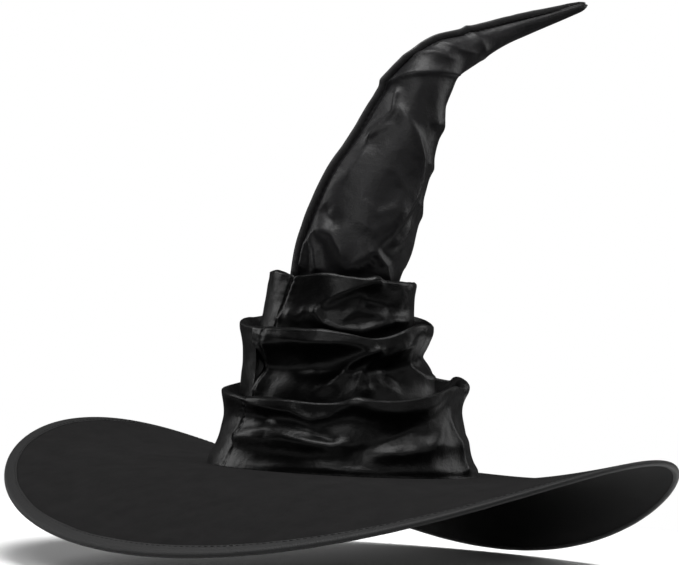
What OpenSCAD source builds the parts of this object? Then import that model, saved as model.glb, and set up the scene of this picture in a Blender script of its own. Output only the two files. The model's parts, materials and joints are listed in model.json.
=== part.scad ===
// Costume witch hat: a wide wired brim, a crown of three cloth tucks, and a
// tall cone with a wired seam that can be leaned and bent at its crook.
// The origin is the centre of the head opening, level with the underside of
// the brim. +Z is up, +X is the front, where the tip points, and the seam runs
// up the back, on -X. Sizes are millimetres and angles are degrees.

/* [Brim] */
// Width of the brim, edge to edge
brim_d = 500; // [440:5:600]
// How far the two sides rise and the two ends fall from the mean edge
brim_wave = 41.5; // [10:0.5:50]
// Direction in which the brim stands highest, from +X
brim_wave_at = 115; // [90:1:130]
// How far the mean edge hangs below the head opening
brim_droop = 17; // [0:1:30]
// Small three-lobed unevenness of the wired edge
brim_ripple = 5; // [0:1:10]
// Direction of one lobe of that unevenness
brim_ripple_at = -34; // [-60:1:60]
// How much lower than the back the front of the edge lies
brim_tilt = 3.3; // [0:0.1:8]
// Direction in which that tilt runs down
brim_tilt_at = 28; // [-60:1:60]
// How far to the side of the head opening's centre the edge's centre lies
brim_shift = 3; // [0:0.5:10]
// How late the brim starts to rise: 1 is straight from the crown
brim_curl = 1.8; // [1:0.1:2]
// How much thicker than the edge wire the stiff foam inside the brim is
core_spare = 0.6; // [0.5:0.1:2]
// Thickness of each cover cloth
cover_t = 0.5; // [0.4:0.1:1.2]
// Thickness of the tape that binds the edge
binding_t = 0.5; // [0.4:0.1:1.2]
// How far the binding laps over the foam on top of the brim
binding_top_lap = 5.8; // [4:0.1:10]
// How far the binding laps over the foam under the brim
binding_under_lap = 1.3; // [0.8:0.1:3]
// Thickness of the steel wire in the edge
brim_wire_d = 1.4; // [1:0.1:1.6]
// Length of the crimped sleeve that joins the wire's ends
wire_sleeve_l = 24; // [16:1:36]

/* [Head opening] */
// Width inside the sweatband: 178 fits a head of 56 cm
head_d = 178; // [172:1:205]
// Height of the sweatband
sweatband_h = 24; // [18:1:28]
// Thickness of the sweatband
sweatband_t = 0.8; // [0.5:0.1:1.2]
// Thickness of the lining cloth
lining_t = 0.5; // [0.3:0.1:0.8]
// Width of the care label
label_w = 30; // [20:1:40]
// Height of the care label
label_h = 22; // [15:1:24]

/* [Crown] */
// Thickness of the crown's foam-backed satin
cloth_t = 1.6; // [1:0.1:2.2]
// How far the foot of the crown stands out from the head opening
foot_flare = 12.5; // [8:0.1:16]
// Height of the lower tuck's rim
lower_rim_z = 64; // [54:1:74]
// Height of the middle tuck's rim
middle_rim_z = 112; // [100:1:120]
// Height of the upper tuck's rim
upper_rim_z = 145; // [142:1:160]
// How far the lower tuck's rim stands out beyond the head
lower_rim_out = 1; // [0:0.5:8]
// Where the middle tuck's rim lies on the way out from the upper tuck's rim to the lower one's
middle_rim_share = 0.49; // [0.4:0.01:0.6]
// How far the upper tuck's rim stands out beyond the gap round the cone
upper_rim_out = 5.5; // [4:0.5:12]
// How much wider than its rim the foot of the middle and the upper tuck is
tuck_taper = 8; // [0:1:12]
// How deep each tuck folds down inside its rim
tuck_depth = 14; // [10:1:18]

/* [Cone] */
// Height of the tip above the upper tuck's rim
cone_h = 225.5; // [180:0.5:280]
// How far in front of the cone's foot the tip ends
tip_reach = 211; // [170:1:260]
// Width of the cone where it leaves the upper tuck
cone_d = 81; // [68:1:98]
// Width of the cone at its crook
crook_d = 34; // [28:1:40]
// How far the channel for the wire stands out from the cone
channel_w = 6.5; // [5:0.5:8]
// Thickness of the channel
channel_t = 3.2; // [2.8:0.1:4]
// Thickness of the wire in the seam
tip_wire_d = 1.4; // [1:0.1:1.6]

/* [Threads] */
// Thickness of the sewing thread
thread_d = 0.6; // [0.4:0.1:0.8]
// Length of one stitch
stitch_l = 4; // [3:0.5:6]

/* [Hidden] */

satin = [0.05, 0.05, 0.055];
cover = [0.10, 0.10, 0.105];
under = [0.04, 0.04, 0.04];
tape = [0.08, 0.08, 0.08];
foam = [0.22, 0.22, 0.23];
steel = [0.62, 0.63, 0.65];
thread = [0.02, 0.02, 0.02];
lining = [0.12, 0.12, 0.12];
white = [0.85, 0.84, 0.80];

// Gaps between neighbours: glued together, drawn tight by a stitch, bound, sewn, lying loose,
// and across the leaning joint
layer_gap = 0.01;
stitch_gap = 0.02;
binding_gap = 0.05;
sewn_gap = 0.15;
loose_gap = 0.6;
lean_gap = 2.5;
// Play of the wire in its sleeve, and room between the sleeve and the covers
sleeve_play = 0.08;
sleeve_clear = 0.1;
brim_steps = 60;
crown_steps = 48;
horn_sides = 24;
tip_r = 1.8;

brim_r = brim_d / 2;
head_r = head_d / 2;
core_t = brim_wire_d + core_spare;
band_r = head_r + sweatband_t;
brim_t = core_t + 2 * cover_t;
hole_r = band_r + sewn_gap;
root_r = head_r + foot_flare;
cover_r = brim_r - binding_t - sewn_gap;
wire_seat_r = cover_r - brim_wire_d / 2 - loose_gap;
core_r = wire_seat_r - brim_wire_d / 2 - loose_gap;
binding_top_r = core_r - binding_top_lap;
binding_under_r = core_r - binding_under_lap;

// ---- lofting -------------------------------------------------------------

// A solid through rings of points. With loop the last ring joins the first,
// and without it the two end rings are closed by flat faces. Each patch is split
// along its shorter diagonal, so that two layers that touch are split alike.
module skin(rings, loop) {
  n = len(rings);
  m = len(rings[0]);
  last = loop ? n - 1 : n - 2;
  sides = [
    for (i = [0:last], j = [0:m - 1])
      let (
        h = (i + 1) % n,
        k = (j + 1) % m,
        a = i * m + j,
        b = i * m + k,
        c = h * m + j,
        d = h * m + k,
        split = norm(rings[i][k] - rings[h][j]) < norm(rings[i][j] - rings[h][k])
      )
        each (split ? [[a, b, c], [b, d, c]] : [[a, b, d], [a, d, c]])
  ];
  ends = loop ? [] : [[for (j = [m - 1:-1:0]) j], [for (j = [0:m - 1]) (n - 1) * m + j]];
  polyhedron(points = [for (r = rings) each r], faces = concat(sides, ends), convexity = 6);
}

// Both sides of a line of [radius, height, shift back] points, t apart and centred on it
function ribbon(path, t) =
  let (n = len(path))
    concat(
      [for (i = [0:n - 1]) path[i] + t / 2 * side(path, i)],
      [for (i = [n - 1:-1:0]) path[i] - t / 2 * side(path, i)]
    );

// The mitred normal of a line at point i, in radius and height
function side(path, i) =
  let (
    n = len(path),
    before = step(path, max(i, 1) - 1),
    after = step(path, min(i, n - 2)),
    mean = unit(before + after)
  )
    [mean[1], -mean[0], 0] / max(0.6, mean * after);

// The direction from point i to the next, in radius and height
function step(path, i) = let (v = path[i + 1] - path[i]) unit([v[0], v[1]]);

function unit(v) = v / norm(v);

// A smooth curve through points, at u from 0 to the last point's index
function curve(points, u) =
  let (
    n = len(points),
    i = min(floor(u), n - 2),
    f = u - i,
    b = points[i],
    c = points[i + 1],
    a = i > 0 ? points[i - 1] : 2 * b - c,
    d = i < n - 2 ? points[i + 2] : 2 * c - b
  )
    0.5 * (2 * b + (c - a) * f + (2 * a - 5 * b + 4 * c - d) * f * f + (3 * b - a - 3 * c + d) * f * f * f);

// ---- brim ----------------------------------------------------------------

// Share of the way out from the crown's foot to the edge
function out(r) = max(0, (r - root_r) / (brim_r - root_r));

// Height of the brim's underside at a radius and a direction
function lift(r, a) =
  pow(out(r), brim_curl) * (
    -brim_droop - brim_t / 2 - brim_tilt * cos(a - brim_tilt_at) + brim_wave * cos(2 * (a - brim_wave_at))
      + brim_ripple * cos(3 * (a - brim_ripple_at))
  );

// A point of the brim, h above its underside
function on_brim(r, a, h) = [r * cos(a), r * sin(a) + brim_shift * out(r), lift(r, a) + h];

// A ring of the brim whose section is a list of [radius, height above the underside]
module brim_ring(section, steps = brim_steps) {
  skin([for (i = [0:steps - 1]) [for (p = section) on_brim(p[0], 360 * i / steps, p[1])]], true);
}

// The radii at which every layer of the brim bends
root_steps = 4;
bends = [
  hole_r,
  for (k = [0:root_steps]) root_r + (binding_top_r - root_r) * k / root_steps,
  binding_under_r,
  core_r,
  cover_r
];

// A layer of the brim from the head opening out to a radius, between two heights
module brim_layer(r_out, low, high) {
  at = [for (r = bends) if (r <= r_out) r];
  brim_ring(concat([for (r = at) [r, low]], [for (k = [len(at) - 1:-1:0]) [at[k], high]]));
}

// A thread ring that lies on the brim, with its centre at a radius and a height
module thread_ring(r, h) {
  t = thread_d / 2;
  brim_ring([[r - t, h], [r, h - t], [r + t, h], [r, h + t]]);
}

module brim_top_cover() color(cover) brim_layer(cover_r, cover_t + core_t, brim_t);

module brim_core() color(foam) brim_layer(core_r, cover_t + layer_gap, cover_t + core_t - layer_gap);

module brim_under_cover() color(under) brim_layer(cover_r, 0, cover_t);

// The tape folded over the edge, with its two laps just clear of the covers
module brim_binding() {
  top = brim_t + binding_gap;
  low = -binding_gap;
  inner_r = brim_r - binding_t;
  color(tape) brim_ring([
      [binding_top_r, top], [binding_under_r, top], [core_r, top], [inner_r, top],
      [inner_r, low], [core_r, low], [binding_under_r, low],
      [binding_under_r, low - binding_t], [core_r, low - binding_t], [brim_r, low - binding_t],
      [brim_r, top + binding_t], [core_r, top + binding_t], [binding_under_r, top + binding_t],
      [binding_top_r, top + binding_t]
    ]);
}

// A round section at the wire's place in the brim, on the straight line between two rings
function wire_ring(a, r, sides) =
  let (
    s = 360 / brim_steps,
    i = floor(a / s),
    f = a / s - i
  )
    [
      for (k = [0:sides - 1])
        let (
          x = wire_seat_r + r * cos(360 * k / sides),
          h = cover_t + core_t / 2 + r * sin(360 * k / sides)
        )
          on_brim(x, i * s, h) * (1 - f) + on_brim(x, (i + 1) * s, h) * f
    ];

// The edge wire, open at the back, where the sleeve joins its ends
module brim_wire() {
  // Half of the angle between the wire's ends
  half_gap = 1.5;
  color(steel) skin([
      for (a = [180 + half_gap, for (i = [1:brim_steps - 1]) 180 + 360 * i / brim_steps, 540 - half_gap])
        wire_ring(a, brim_wire_d / 2, 6)
    ], false);
}

// A crimped tube over the two ends of the wire, along the brim's edge
module brim_wire_sleeve() {
  span = wire_sleeve_l / wire_seat_r * 180 / PI / 2;
  inner = brim_wire_d / 2 + sleeve_play;
  sleeve_t = core_t / 2 - inner - sleeve_clear;
  at = [for (j = [-1:0.5:1]) 180 + span * j];
  color(steel) skin(concat(
      [for (a = at) wire_ring(a, inner, 8)],
      [for (k = [len(at) - 1:-1:0]) wire_ring(at[k], inner + sleeve_t, 8)]
    ), true);
}

// One line of thread along each lap of the binding
module brim_stitching() {
  lap = binding_gap + binding_t + sewn_gap + thread_d / 2;
  from_top_hem = 1.5;
  from_under_hem = 1.2;
  color(thread) {
    thread_ring(binding_top_r + from_top_hem, brim_t + lap);
    thread_ring(binding_under_r + from_under_hem, -lap);
  }
}

// ---- crown ---------------------------------------------------------------

// Height and radius of each tuck's rim: 0 lower, 1 middle, 2 upper
rim_z = [lower_rim_z, middle_rim_z, upper_rim_z];
lower_rim_r = head_r + lower_rim_out;
upper_rim_r = cone_d / 2 + channel_w + lean_gap + upper_rim_out;
middle_rim_r = upper_rim_r + (lower_rim_r - upper_rim_r) * middle_rim_share;
rim_r = [lower_rim_r, middle_rim_r, upper_rim_r];
// How far each rim tips, and the direction in which it is lowest
rim_dip = [11, 8, 1.5];
rim_dip_at = [204, 225, 298];
// How far each tuck's wall draws in below its rim
waist_in = [1.5, 1.5, 0];
// How far behind the head opening's centre each tuck's foot and rim lie, and the cone's mouth
foot_back = [1, 8, 14.5, 10];
rim_back = [4.5, 12, 10];
// Where a tuck's wall bends below its rim, in shares of its height, and how much of its waist it has there
knee = 0.3;
knee_in = 0.55;
waist = 0.7;
// How far below its rim the cloth turns over, how far the fold leans in, and how wide it is
rim_turn = 4;
rim_round = 1.4;
fold_w = 5;
fold_drop = 2;
// How far the folded part lies outside the tuck's inner end, at its top and near its foot
fold_clear = 0.7;
flap_clear = 1.2;
flap_foot = 5;

function rim(i, a) = rim_z[i] - rim_dip[i] * cos(a - rim_dip_at[i]);

// Height of a tuck's foot: the brim, or the bottom of the tuck below
function foot(i, a) = i == 0 ? brim_t + loose_gap + cloth_t / 2 : rim(i - 1, a) - tuck_depth;

// Radius of a tuck's foot, and of its narrowest place above that
function foot_r(i) = i == 0 ? root_r - cloth_t / 2 : rim_r[i] + tuck_taper / 2;
function waist_r(i) = min(foot_r(i), rim_r[i] - cloth_t / 2) - waist_in[i];

// Radius of the tuck's inner end, where the next cloth starts
function throat_r(i) =
  i == 2 ? cone_d / 2 + channel_w + lean_gap + cloth_t / 2 : foot_r(i + 1) + cloth_t + sewn_gap;

// A point of the crown, shifted back
function on_crown(r, a, z, back) = [r * cos(a) - back, r * sin(a), z];

// The outside line of one tuck at a share of its height
function wall(i, a, share) =
  let (
    past = (share - knee) / (waist - knee),
    u = share < knee ? share / knee * knee_in : min(1, knee_in + past * (1 - knee_in)),
    r = foot_r(i) + (waist_r(i) - foot_r(i)) * u
  )
    [r, foot(i, a) + (rim(i, a) - foot(i, a)) * share, foot_back[i] + (rim_back[i] - foot_back[i]) * share];

// The cloth of one tuck, from its foot up to the rim and down inside it
function tuck_path(i, a) =
  let (
    top = rim(i, a),
    out_r = rim_r[i] - cloth_t / 2,
    b = rim_back[i],
    end = foot_back[i + 1]
  )
    [
      wall(i, a, 0),
      wall(i, a, knee),
      wall(i, a, waist),
      [out_r, top - rim_turn, b],
      [out_r - rim_round, top - cloth_t / 2, b],
      [max(rim_r[i] - fold_w, throat_r(i) + fold_clear), top - fold_drop, b],
      [throat_r(i) + flap_clear, top - tuck_depth + flap_foot, (b + 2 * end) / 3],
      [throat_r(i), top - tuck_depth, end]
    ];

// A closed ring round the crown from a line that changes with direction
module crown_ring(path, t, steps = crown_steps) {
  skin([
      for (i = [0:steps - 1])
        let (a = 360 * i / steps) [for (p = ribbon(path(a), t)) on_crown(p[0], a, p[1], p[2])]
    ], true);
}

module lower_tier() color(satin) crown_ring(function(a) tuck_path(0, a), cloth_t);

module middle_tier() color(satin) crown_ring(function(a) tuck_path(1, a), cloth_t);

module upper_tier() color(satin) crown_ring(function(a) tuck_path(2, a), cloth_t);

// The lining hangs from the sweatband's upper edge and passes inside and below each tuck's lower end
lining_top_r = cone_d / 2 - 6;
lining_top_z = upper_rim_z - rim_dip[2] - tuck_depth - 10;
lining_top_back = 12;
lining_drop = 1;
lining_end_gap = 0.1;
function inside(i, a) = [
  foot_r(i) - cloth_t / 2 - loose_gap - lining_t / 2,
  foot(i, a) - cloth_t - lining_drop,
  foot_back[i]
];

module crown_lining() {
  color(lining) crown_ring(function(a) [
      [head_r + sweatband_t / 2, sweatband_h + 2 * sewn_gap, 0],
      inside(1, a),
      inside(2, a),
      [lining_top_r, lining_top_z, lining_top_back]
    ], lining_t);
}

// The gathered end that closes the lining
module lining_top() {
  color(lining) translate([-lining_top_back, 0, lining_top_z + lining_t / 2 + lining_end_gap])
      cylinder(r = lining_top_r, h = lining_t, $fn = 48);
}

// ---- head opening --------------------------------------------------------

module sweatband() {
  color(tape) rotate_extrude($fn = 96) translate([head_r, 0]) square([sweatband_t, sweatband_h]);
}

// A ring of flat stitches round the head opening, at a radius and a height, with gaps of
// twice a stitch between them
module stitch_ring(r, z) {
  steps = floor(2 * PI * r / stitch_l / 3);
  color(thread) for (i = [0:steps - 1])
      rotate([0, 0, 360 * i / steps]) translate([r, 0, z])
          rotate([90, 0, 0]) cylinder(d = thread_d, h = stitch_l, center = true, $fn = 16);
}

// How far outside the sweatband, and how far inside the crown's foot, the stitches lie
band_seam_out = 2.5;
foot_seam_in = 5;

// The thread that holds the sweatband's lower edge to the brim
module sweatband_stitching() stitch_ring(band_r + band_seam_out, -thread_d / 2 - stitch_gap);

// The thread round the crown's foot, just inside its flare
module crown_join_stitching() stitch_ring(root_r - foot_seam_in, brim_t + thread_d / 2 + stitch_gap);

// A point of the seam on the outside of tuck i, at a share of its height
function seam_point(i, share) =
  let (p = wall(i, 180, share)) on_crown(p[0] + cloth_t / 2 + thread_d / 2 + sewn_gap, 180, p[1], p[2]);

// A rod from one point to another
module rod(a, b, d) {
  v = b - a;
  translate(a) rotate([0, acos(v[2] / norm(v)), atan2(v[1], v[0])]) cylinder(d = d, h = norm(v), $fn = 16);
}

// Stitches up the back seam, on the part of each tuck that shows
module crown_seam_stitching() {
  pitch = stitch_l * 1.4;
  color(thread) for (i = [0:2]) {
      height = rim(i, 180) - foot(i, 180);
      hidden = i == 0 ? 3 : tuck_depth + 4;
      count = floor((height * (waist - 0.02) - hidden) / pitch);
      for (k = [0:count - 1]) {
        low = (hidden + k * pitch) / height;
        rod(seam_point(i, low), seam_point(i, low + stitch_l / height), thread_d);
      }
    }
}

// Two bars of thread across the mouth of each lower tuck, which keep it folded at the seam.
// Their outer ends follow the slope of the folded cloth, which is flatter on a wider crown.
module tuck_tacks() {
  drop = 4;
  apart = 3;
  wall_clear = 3 * sewn_gap;
  fold_gap = 0.18;
  color(thread) for (i = [0:1], y = [-apart / 2, apart / 2]) {
      z = rim(i, 180) - drop;
      next = wall(i + 1, 180, (z - foot(i + 1, 180)) / (rim(i + 1, 180) - foot(i + 1, 180)));
      fold = tuck_path(i, 180);
      flap = fold[5] + (fold[6] - fold[5]) * (drop - fold_drop) / (tuck_depth - flap_foot - fold_drop);
      run = fold[5][0] + fold[5][2] - fold[6][0] - fold[6][2];
      fall = fold[5][1] - fold[6][1];
      reach = ((cloth_t / 2 + fold_gap) * norm([run, fall]) + thread_d / 2 * run) / fall;
      inner = on_crown(next[0] + cloth_t / 2 + wall_clear, 180, z, next[2]);
      outer = on_crown(flap[0] - reach, 180, z, flap[2]);
      rod(inner + [0, y, 0], outer + [0, y, 0], thread_d);
    }
}

// A blank folded cloth label, sewn to the lining at the back, above the sweatband
module care_label() {
  label_t = 0.4;
  above_seam = 6;
  a = inside(1, 180);
  b = inside(2, 180);
  low = on_crown(a[0], 180, a[1], a[2]);
  high = on_crown(b[0], 180, b[1], b[2]);
  bulge = b[0] - sqrt(b[0] * b[0] - label_w * label_w / 4);
  color(white) translate(low) rotate([0, atan2(high[0] - low[0], high[2] - low[2]), 0])
        translate([bulge + lining_t / 2 + 2 * sewn_gap, -label_w / 2, above_seam])
          cube([label_t, label_w, label_h]);
}

// ---- cone ----------------------------------------------------------------

// The cone's middle line, as steps from its mouth in shares of the tip's reach and of
// the cone's height, with the radius there. It is the cone from 0 to 5, the crook from
// 5 to 7 and the tip from 7 to 10.
mouth_r = cone_d / 2;
bend_r = crook_d / 2;
spine = [
  for (
    p = [
      [0, -tuck_depth / cone_h, mouth_r],
      [0.024, 0.089, mouth_r + 0.5],
      [0.081, 0.235, mouth_r - 1],
      [0.154, 0.381, mouth_r - 5.5],
      [0.223, 0.523, mouth_r - 11],
      [0.284, 0.652, bend_r + 6.5],
      [0.374, 0.747, bend_r],
      [0.481, 0.805, bend_r - 5.5],
      [0.628, 0.871, bend_r - 9],
      [0.777, 0.927, bend_r - 12.5],
      [1, 1, tip_r]
    ]
  )
    [p[0] * tip_reach, p[1] * cone_h, p[2]]
];
spine_end = len(spine) - 1;
crook_from = 5;
crook_to = 7;
// The usual length of one step
step_l = 0.11 * norm([tip_reach, cone_h]);
// How far the cut ends of the cone, the crook and the tip keep back, in steps
part_gap = 0.34 / step_l;

function middle(u) =
  let (p = curve(spine, u)) [p[0] - foot_back[3], 0, p[1] + upper_rim_z];
function radius(u) = curve(spine, u)[2];

// The direction along the cone, which starts upright, and the one towards the channel
function along(u) =
  let (t = unit(middle(min(u + 0.01, spine_end)) - middle(max(u - 0.01, 0))))
    unit(t * min(1, u) + [0, 0, 1] * max(0, 1 - u));
function outer(u) = let (t = along(u)) [-t[2], 0, t[0]];

// A ring of the cone's cloth, inset from its outside
function horn_ring(u, inset) =
  let (
    r = max(0.3, radius(u) - inset),
    n = outer(u)
  )
    [
      for (j = [0:horn_sides - 1])
        let (a = 360 * j / horn_sides) middle(u) + r * (cos(a) * n + sin(a) * [0, 1, 0])
    ];

// An open tube of cloth between two places on the line
module horn(from, to, rings) {
  us = [for (i = [0:rings]) from + (to - from) * i / rings];
  skin(concat(
      [for (u = us) horn_ring(u, 0)],
      [for (i = [rings:-1:0]) horn_ring(us[i], cloth_t)]
    ), true);
}

module cone_cloth() color(satin) horn(0, crook_from - part_gap, 16);

module crook_cloth() color(satin) horn(crook_from + part_gap, crook_to - part_gap, 8);

// The tip's cloth, closed at its end
module tip_cloth() {
  from = crook_to + part_gap;
  closed = spine_end - 0.4;
  inner = [for (i = [0:8]) from + (closed - from) * i / 8];
  shell = [for (i = [0:11]) from + (spine_end - from) * i / 11];
  color(satin) skin(concat(
      [for (i = [8:-1:0]) horn_ring(inner[i], min(cloth_t, radius(inner[i]) - 0.5))],
      [for (u = shell) horn_ring(u, 0)]
    ), false);
}

// The cloth that gives where the cone leans: from the upper tuck's inner end to the cone's mouth
module neck_cloth() {
  color(satin) crown_ring(function(a)
      let (z = upper_rim_z - rim_dip[2] - tuck_depth - cloth_t, b = foot_back[3])
        [
          [throat_r(2) - 0.2, rim(2, a) - tuck_depth - cloth_t / 2 - sewn_gap, b],
          [(throat_r(2) + mouth_r) / 2, z - 1, b],
          [mouth_r - cloth_t / 2, upper_rim_z - tuck_depth - cloth_t / 2 - sewn_gap, b]
        ], cloth_t);
}

// A ring across the channel: w wide and t thick, with its middle d outside the cloth
function channel_ring(u, d, w, t) =
  let (
    n = outer(u),
    c = middle(u) + (radius(u) + d) * n
  )
    [
      for (k = [0:7])
        let (
          a = 22.5 + 45 * k,
          across = sign(cos(a)) * min(1, abs(cos(a)) * 1.3)
        )
          c + n * (w / 2 * across) + [0, t / 2 * sin(a), 0]
    ];

// The folded cloth that holds the wire along the seam
module channel(from, to, rings) {
  us = [for (i = [0:rings]) from + (to - from) * i / rings];
  bore = tip_wire_d + 0.8;
  bore_w = bore * 1.25;
  color(satin) skin(concat(
      [for (u = us) channel_ring(u, wire_out, channel_w, channel_t)],
      [for (i = [rings:-1:0]) channel_ring(us[i], wire_out, bore_w, bore)]
    ), true);
}

// How far outside the cloth the wire lies, and where the channel and the wire start and end
wire_out = channel_w / 2 + sewn_gap;
channel_start = 0.3;
channel_end = spine_end - 0.15;
wire_start = 0.6;
wire_end = spine_end - 0.35;

module cone_channel() channel(channel_start, crook_from - part_gap, 16);
module crook_channel() channel(crook_from + part_gap, crook_to - part_gap, 8);
module tip_channel() channel(crook_to + part_gap, channel_end, 12);

function on_wire(u) = middle(u) + (radius(u) + wire_out) * outer(u);

// The wire along the middle of the channel
module wire(from, to, rings) {
  r = tip_wire_d / 2;
  color(steel) skin([
      for (i = [0:rings])
        let (u = from + (to - from) * i / rings)
          [for (k = [0:5]) on_wire(u) + r * (cos(60 * k) * outer(u) + sin(60 * k) * [0, 1, 0])]
    ], false);
}

module cone_wire() wire(wire_start, crook_from - part_gap, 16);
module crook_wire() wire(crook_from + part_gap, crook_to - part_gap, 8);
module tip_wire() wire(crook_to + part_gap, wire_end, 12);

// A point of the stitch line on one face of the channel
function on_face(u, face) =
  let (from_cloth = 1.6)
    middle(u) + (radius(u) + from_cloth) * outer(u) + [0, face * (channel_t / 2 + thread_d / 2), 0];

// Stitches on both faces of the channel, close to the cloth. Two thirds of each pitch is stitch.
module channel_stitches(from, to) {
  count = round((to - from) * step_l / (stitch_l * 1.5));
  pitch = (to - from) / count;
  color(thread) for (k = [0:count - 1], face = [-1, 1])
      rod(on_face(from + pitch * k, face), on_face(from + pitch * (k + 0.65), face), thread_d);
}

module cone_stitching() channel_stitches(0.5, crook_from - 0.03);
module tip_stitching() channel_stitches(crook_to + 0.03, channel_end - 0.1);

// A smooth cap beyond one end of the wire, so that it doesn't work through the cloth
module wire_cap(u, towards) {
  d = along(u) * towards;
  cap_gap = 0.1;
  cap_l = 2.5;
  cap_d = tip_wire_d + 0.4;
  color(thread) rod(on_wire(u) + cap_gap * d, on_wire(u) + (cap_gap + cap_l) * d, cap_d);
}

module wire_cap_bottom() wire_cap(wire_start, -1);
module wire_cap_top() wire_cap(wire_end, 1);

// ---- output --------------------------------------------------------------

brim_top_cover();
brim_core();
brim_under_cover();
brim_binding();
brim_wire();
brim_wire_sleeve();
brim_stitching();
lower_tier();
middle_tier();
upper_tier();
crown_lining();
lining_top();
sweatband();
sweatband_stitching();
crown_join_stitching();
crown_seam_stitching();
tuck_tacks();
care_label();
neck_cloth();
cone_cloth();
cone_channel();
cone_wire();
cone_stitching();
crook_cloth();
crook_channel();
crook_wire();
tip_cloth();
tip_channel();
tip_wire();
tip_stitching();
wire_cap_bottom();
wire_cap_top();
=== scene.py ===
"""The looks of a black satin witch hat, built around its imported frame.

Every piece is in metres, in the frame's own axes: the head opening's centre is
the origin, +Z is up, +X is the front, where the tip points, and the crown's
seam runs up the back, on -X. Directions round the hat are degrees from +X.
"""

import json
import logging
import math
from dataclasses import dataclass, field
from enum import Enum
from typing import Callable

import bmesh
import bpy
import numpy as np
from mathutils import Matrix, Vector


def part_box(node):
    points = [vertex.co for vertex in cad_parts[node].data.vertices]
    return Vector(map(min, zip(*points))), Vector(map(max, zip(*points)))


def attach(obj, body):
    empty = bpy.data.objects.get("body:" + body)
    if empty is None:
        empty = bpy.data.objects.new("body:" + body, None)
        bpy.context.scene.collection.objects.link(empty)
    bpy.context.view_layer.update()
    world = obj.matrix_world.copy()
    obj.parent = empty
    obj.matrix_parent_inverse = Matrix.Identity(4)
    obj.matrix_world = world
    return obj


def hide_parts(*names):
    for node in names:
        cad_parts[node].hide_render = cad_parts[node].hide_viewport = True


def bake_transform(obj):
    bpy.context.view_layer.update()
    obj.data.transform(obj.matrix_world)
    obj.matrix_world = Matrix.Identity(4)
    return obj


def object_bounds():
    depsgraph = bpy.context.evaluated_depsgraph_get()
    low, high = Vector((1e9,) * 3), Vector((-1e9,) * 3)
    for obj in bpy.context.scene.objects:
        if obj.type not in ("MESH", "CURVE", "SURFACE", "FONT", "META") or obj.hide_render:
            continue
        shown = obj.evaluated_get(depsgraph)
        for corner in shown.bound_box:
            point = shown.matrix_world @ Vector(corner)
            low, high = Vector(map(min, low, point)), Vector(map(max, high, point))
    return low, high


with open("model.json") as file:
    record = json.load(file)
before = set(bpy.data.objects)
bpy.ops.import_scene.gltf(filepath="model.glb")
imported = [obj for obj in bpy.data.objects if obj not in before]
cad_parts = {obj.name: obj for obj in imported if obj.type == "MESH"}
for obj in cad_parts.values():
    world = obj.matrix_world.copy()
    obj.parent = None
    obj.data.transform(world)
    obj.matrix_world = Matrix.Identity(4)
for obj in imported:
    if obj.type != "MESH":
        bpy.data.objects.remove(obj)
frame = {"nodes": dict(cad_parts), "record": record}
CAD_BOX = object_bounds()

Array = np.ndarray
Place = Callable[[Array, Array], Array]
Score = Callable[[bmesh.types.BMFace], float]
log = logging.getLogger("witch_hat")

MM = 0.001

SAME_POINT = 1e-6  # two sides of a grid that meet are merged within this distance
PINCHED = 0.00002  # points of a closed end are merged within this distance
SIDE_BLEND = 2.5 * MM  # how softly one side of a fold turns into the other
FALL_POWER = 1.5  # how squarely a fold falls away beside its line
FADE = (-0.05, 0.3)  # shares of a fold's line over which it fades in


# ---- numbers and curves ------------------------------------------------------


def smooth(x: Array, low: float, high: float) -> Array:
    """A smooth step from 0 at low to 1 at high."""
    t = np.clip((x - low) / (high - low), 0.0, 1.0)
    return t * t * (3.0 - 2.0 * t)


def catmull(points: Array, u: Array) -> Array:
    """A smooth curve through points.

    Args:
        points: The points, as [point, coordinate] or [point, vertex, coordinate].
        u: Where on the curve each vertex lies, from 0 to the last point's index.

    Returns:
        One row of coordinates for each vertex.
    """
    last = len(points) - 1
    i = np.clip(np.floor(u).astype(int), 0, last - 1)
    f = (u - i)[:, None]
    rows = np.arange(len(u))

    def pick(k: Array) -> Array:
        """The k-th point for each vertex."""
        return points[k, rows] if points.ndim == 3 else points[k]

    b, c = pick(i), pick(i + 1)
    a = np.where((i > 0)[:, None], pick(np.maximum(i - 1, 0)), 2 * b - c)
    d = np.where((i < last - 1)[:, None], pick(np.minimum(i + 2, last)), 2 * c - b)
    return 0.5 * (2 * b + (c - a) * f + (2 * a - 5 * b + 4 * c - d) * f**2 + (3 * b - a - 3 * c + d) * f**3)


def unit(v: Array) -> Array:
    """Rows scaled to length 1."""
    return v / np.maximum(np.linalg.norm(v, axis=-1, keepdims=True), 1e-12)


def lumps(x: Array, y: Array, seed: int) -> Array:
    """Smooth lumpy noise, one lump about one unit across.

    Args:
        x: First coordinate, in lumps.
        y: Second coordinate, in lumps.
        seed: Which pattern of lumps.

    Returns:
        Heights from about -1 to 1.
    """
    size = 64
    table = np.random.default_rng(seed).uniform(-1.0, 1.0, (size, size))
    i, j = np.floor(x).astype(int), np.floor(y).astype(int)
    fx, fy = x - i, y - j
    fx, fy = fx * fx * (3 - 2 * fx), fy * fy * (3 - 2 * fy)
    left, right, near, far = i % size, (i + 1) % size, j % size, (j + 1) % size
    low = table[left, near] * (1 - fx) + table[right, near] * fx
    high = table[left, far] * (1 - fx) + table[right, far] * fx
    return low * (1 - fy) + high * fy


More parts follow.
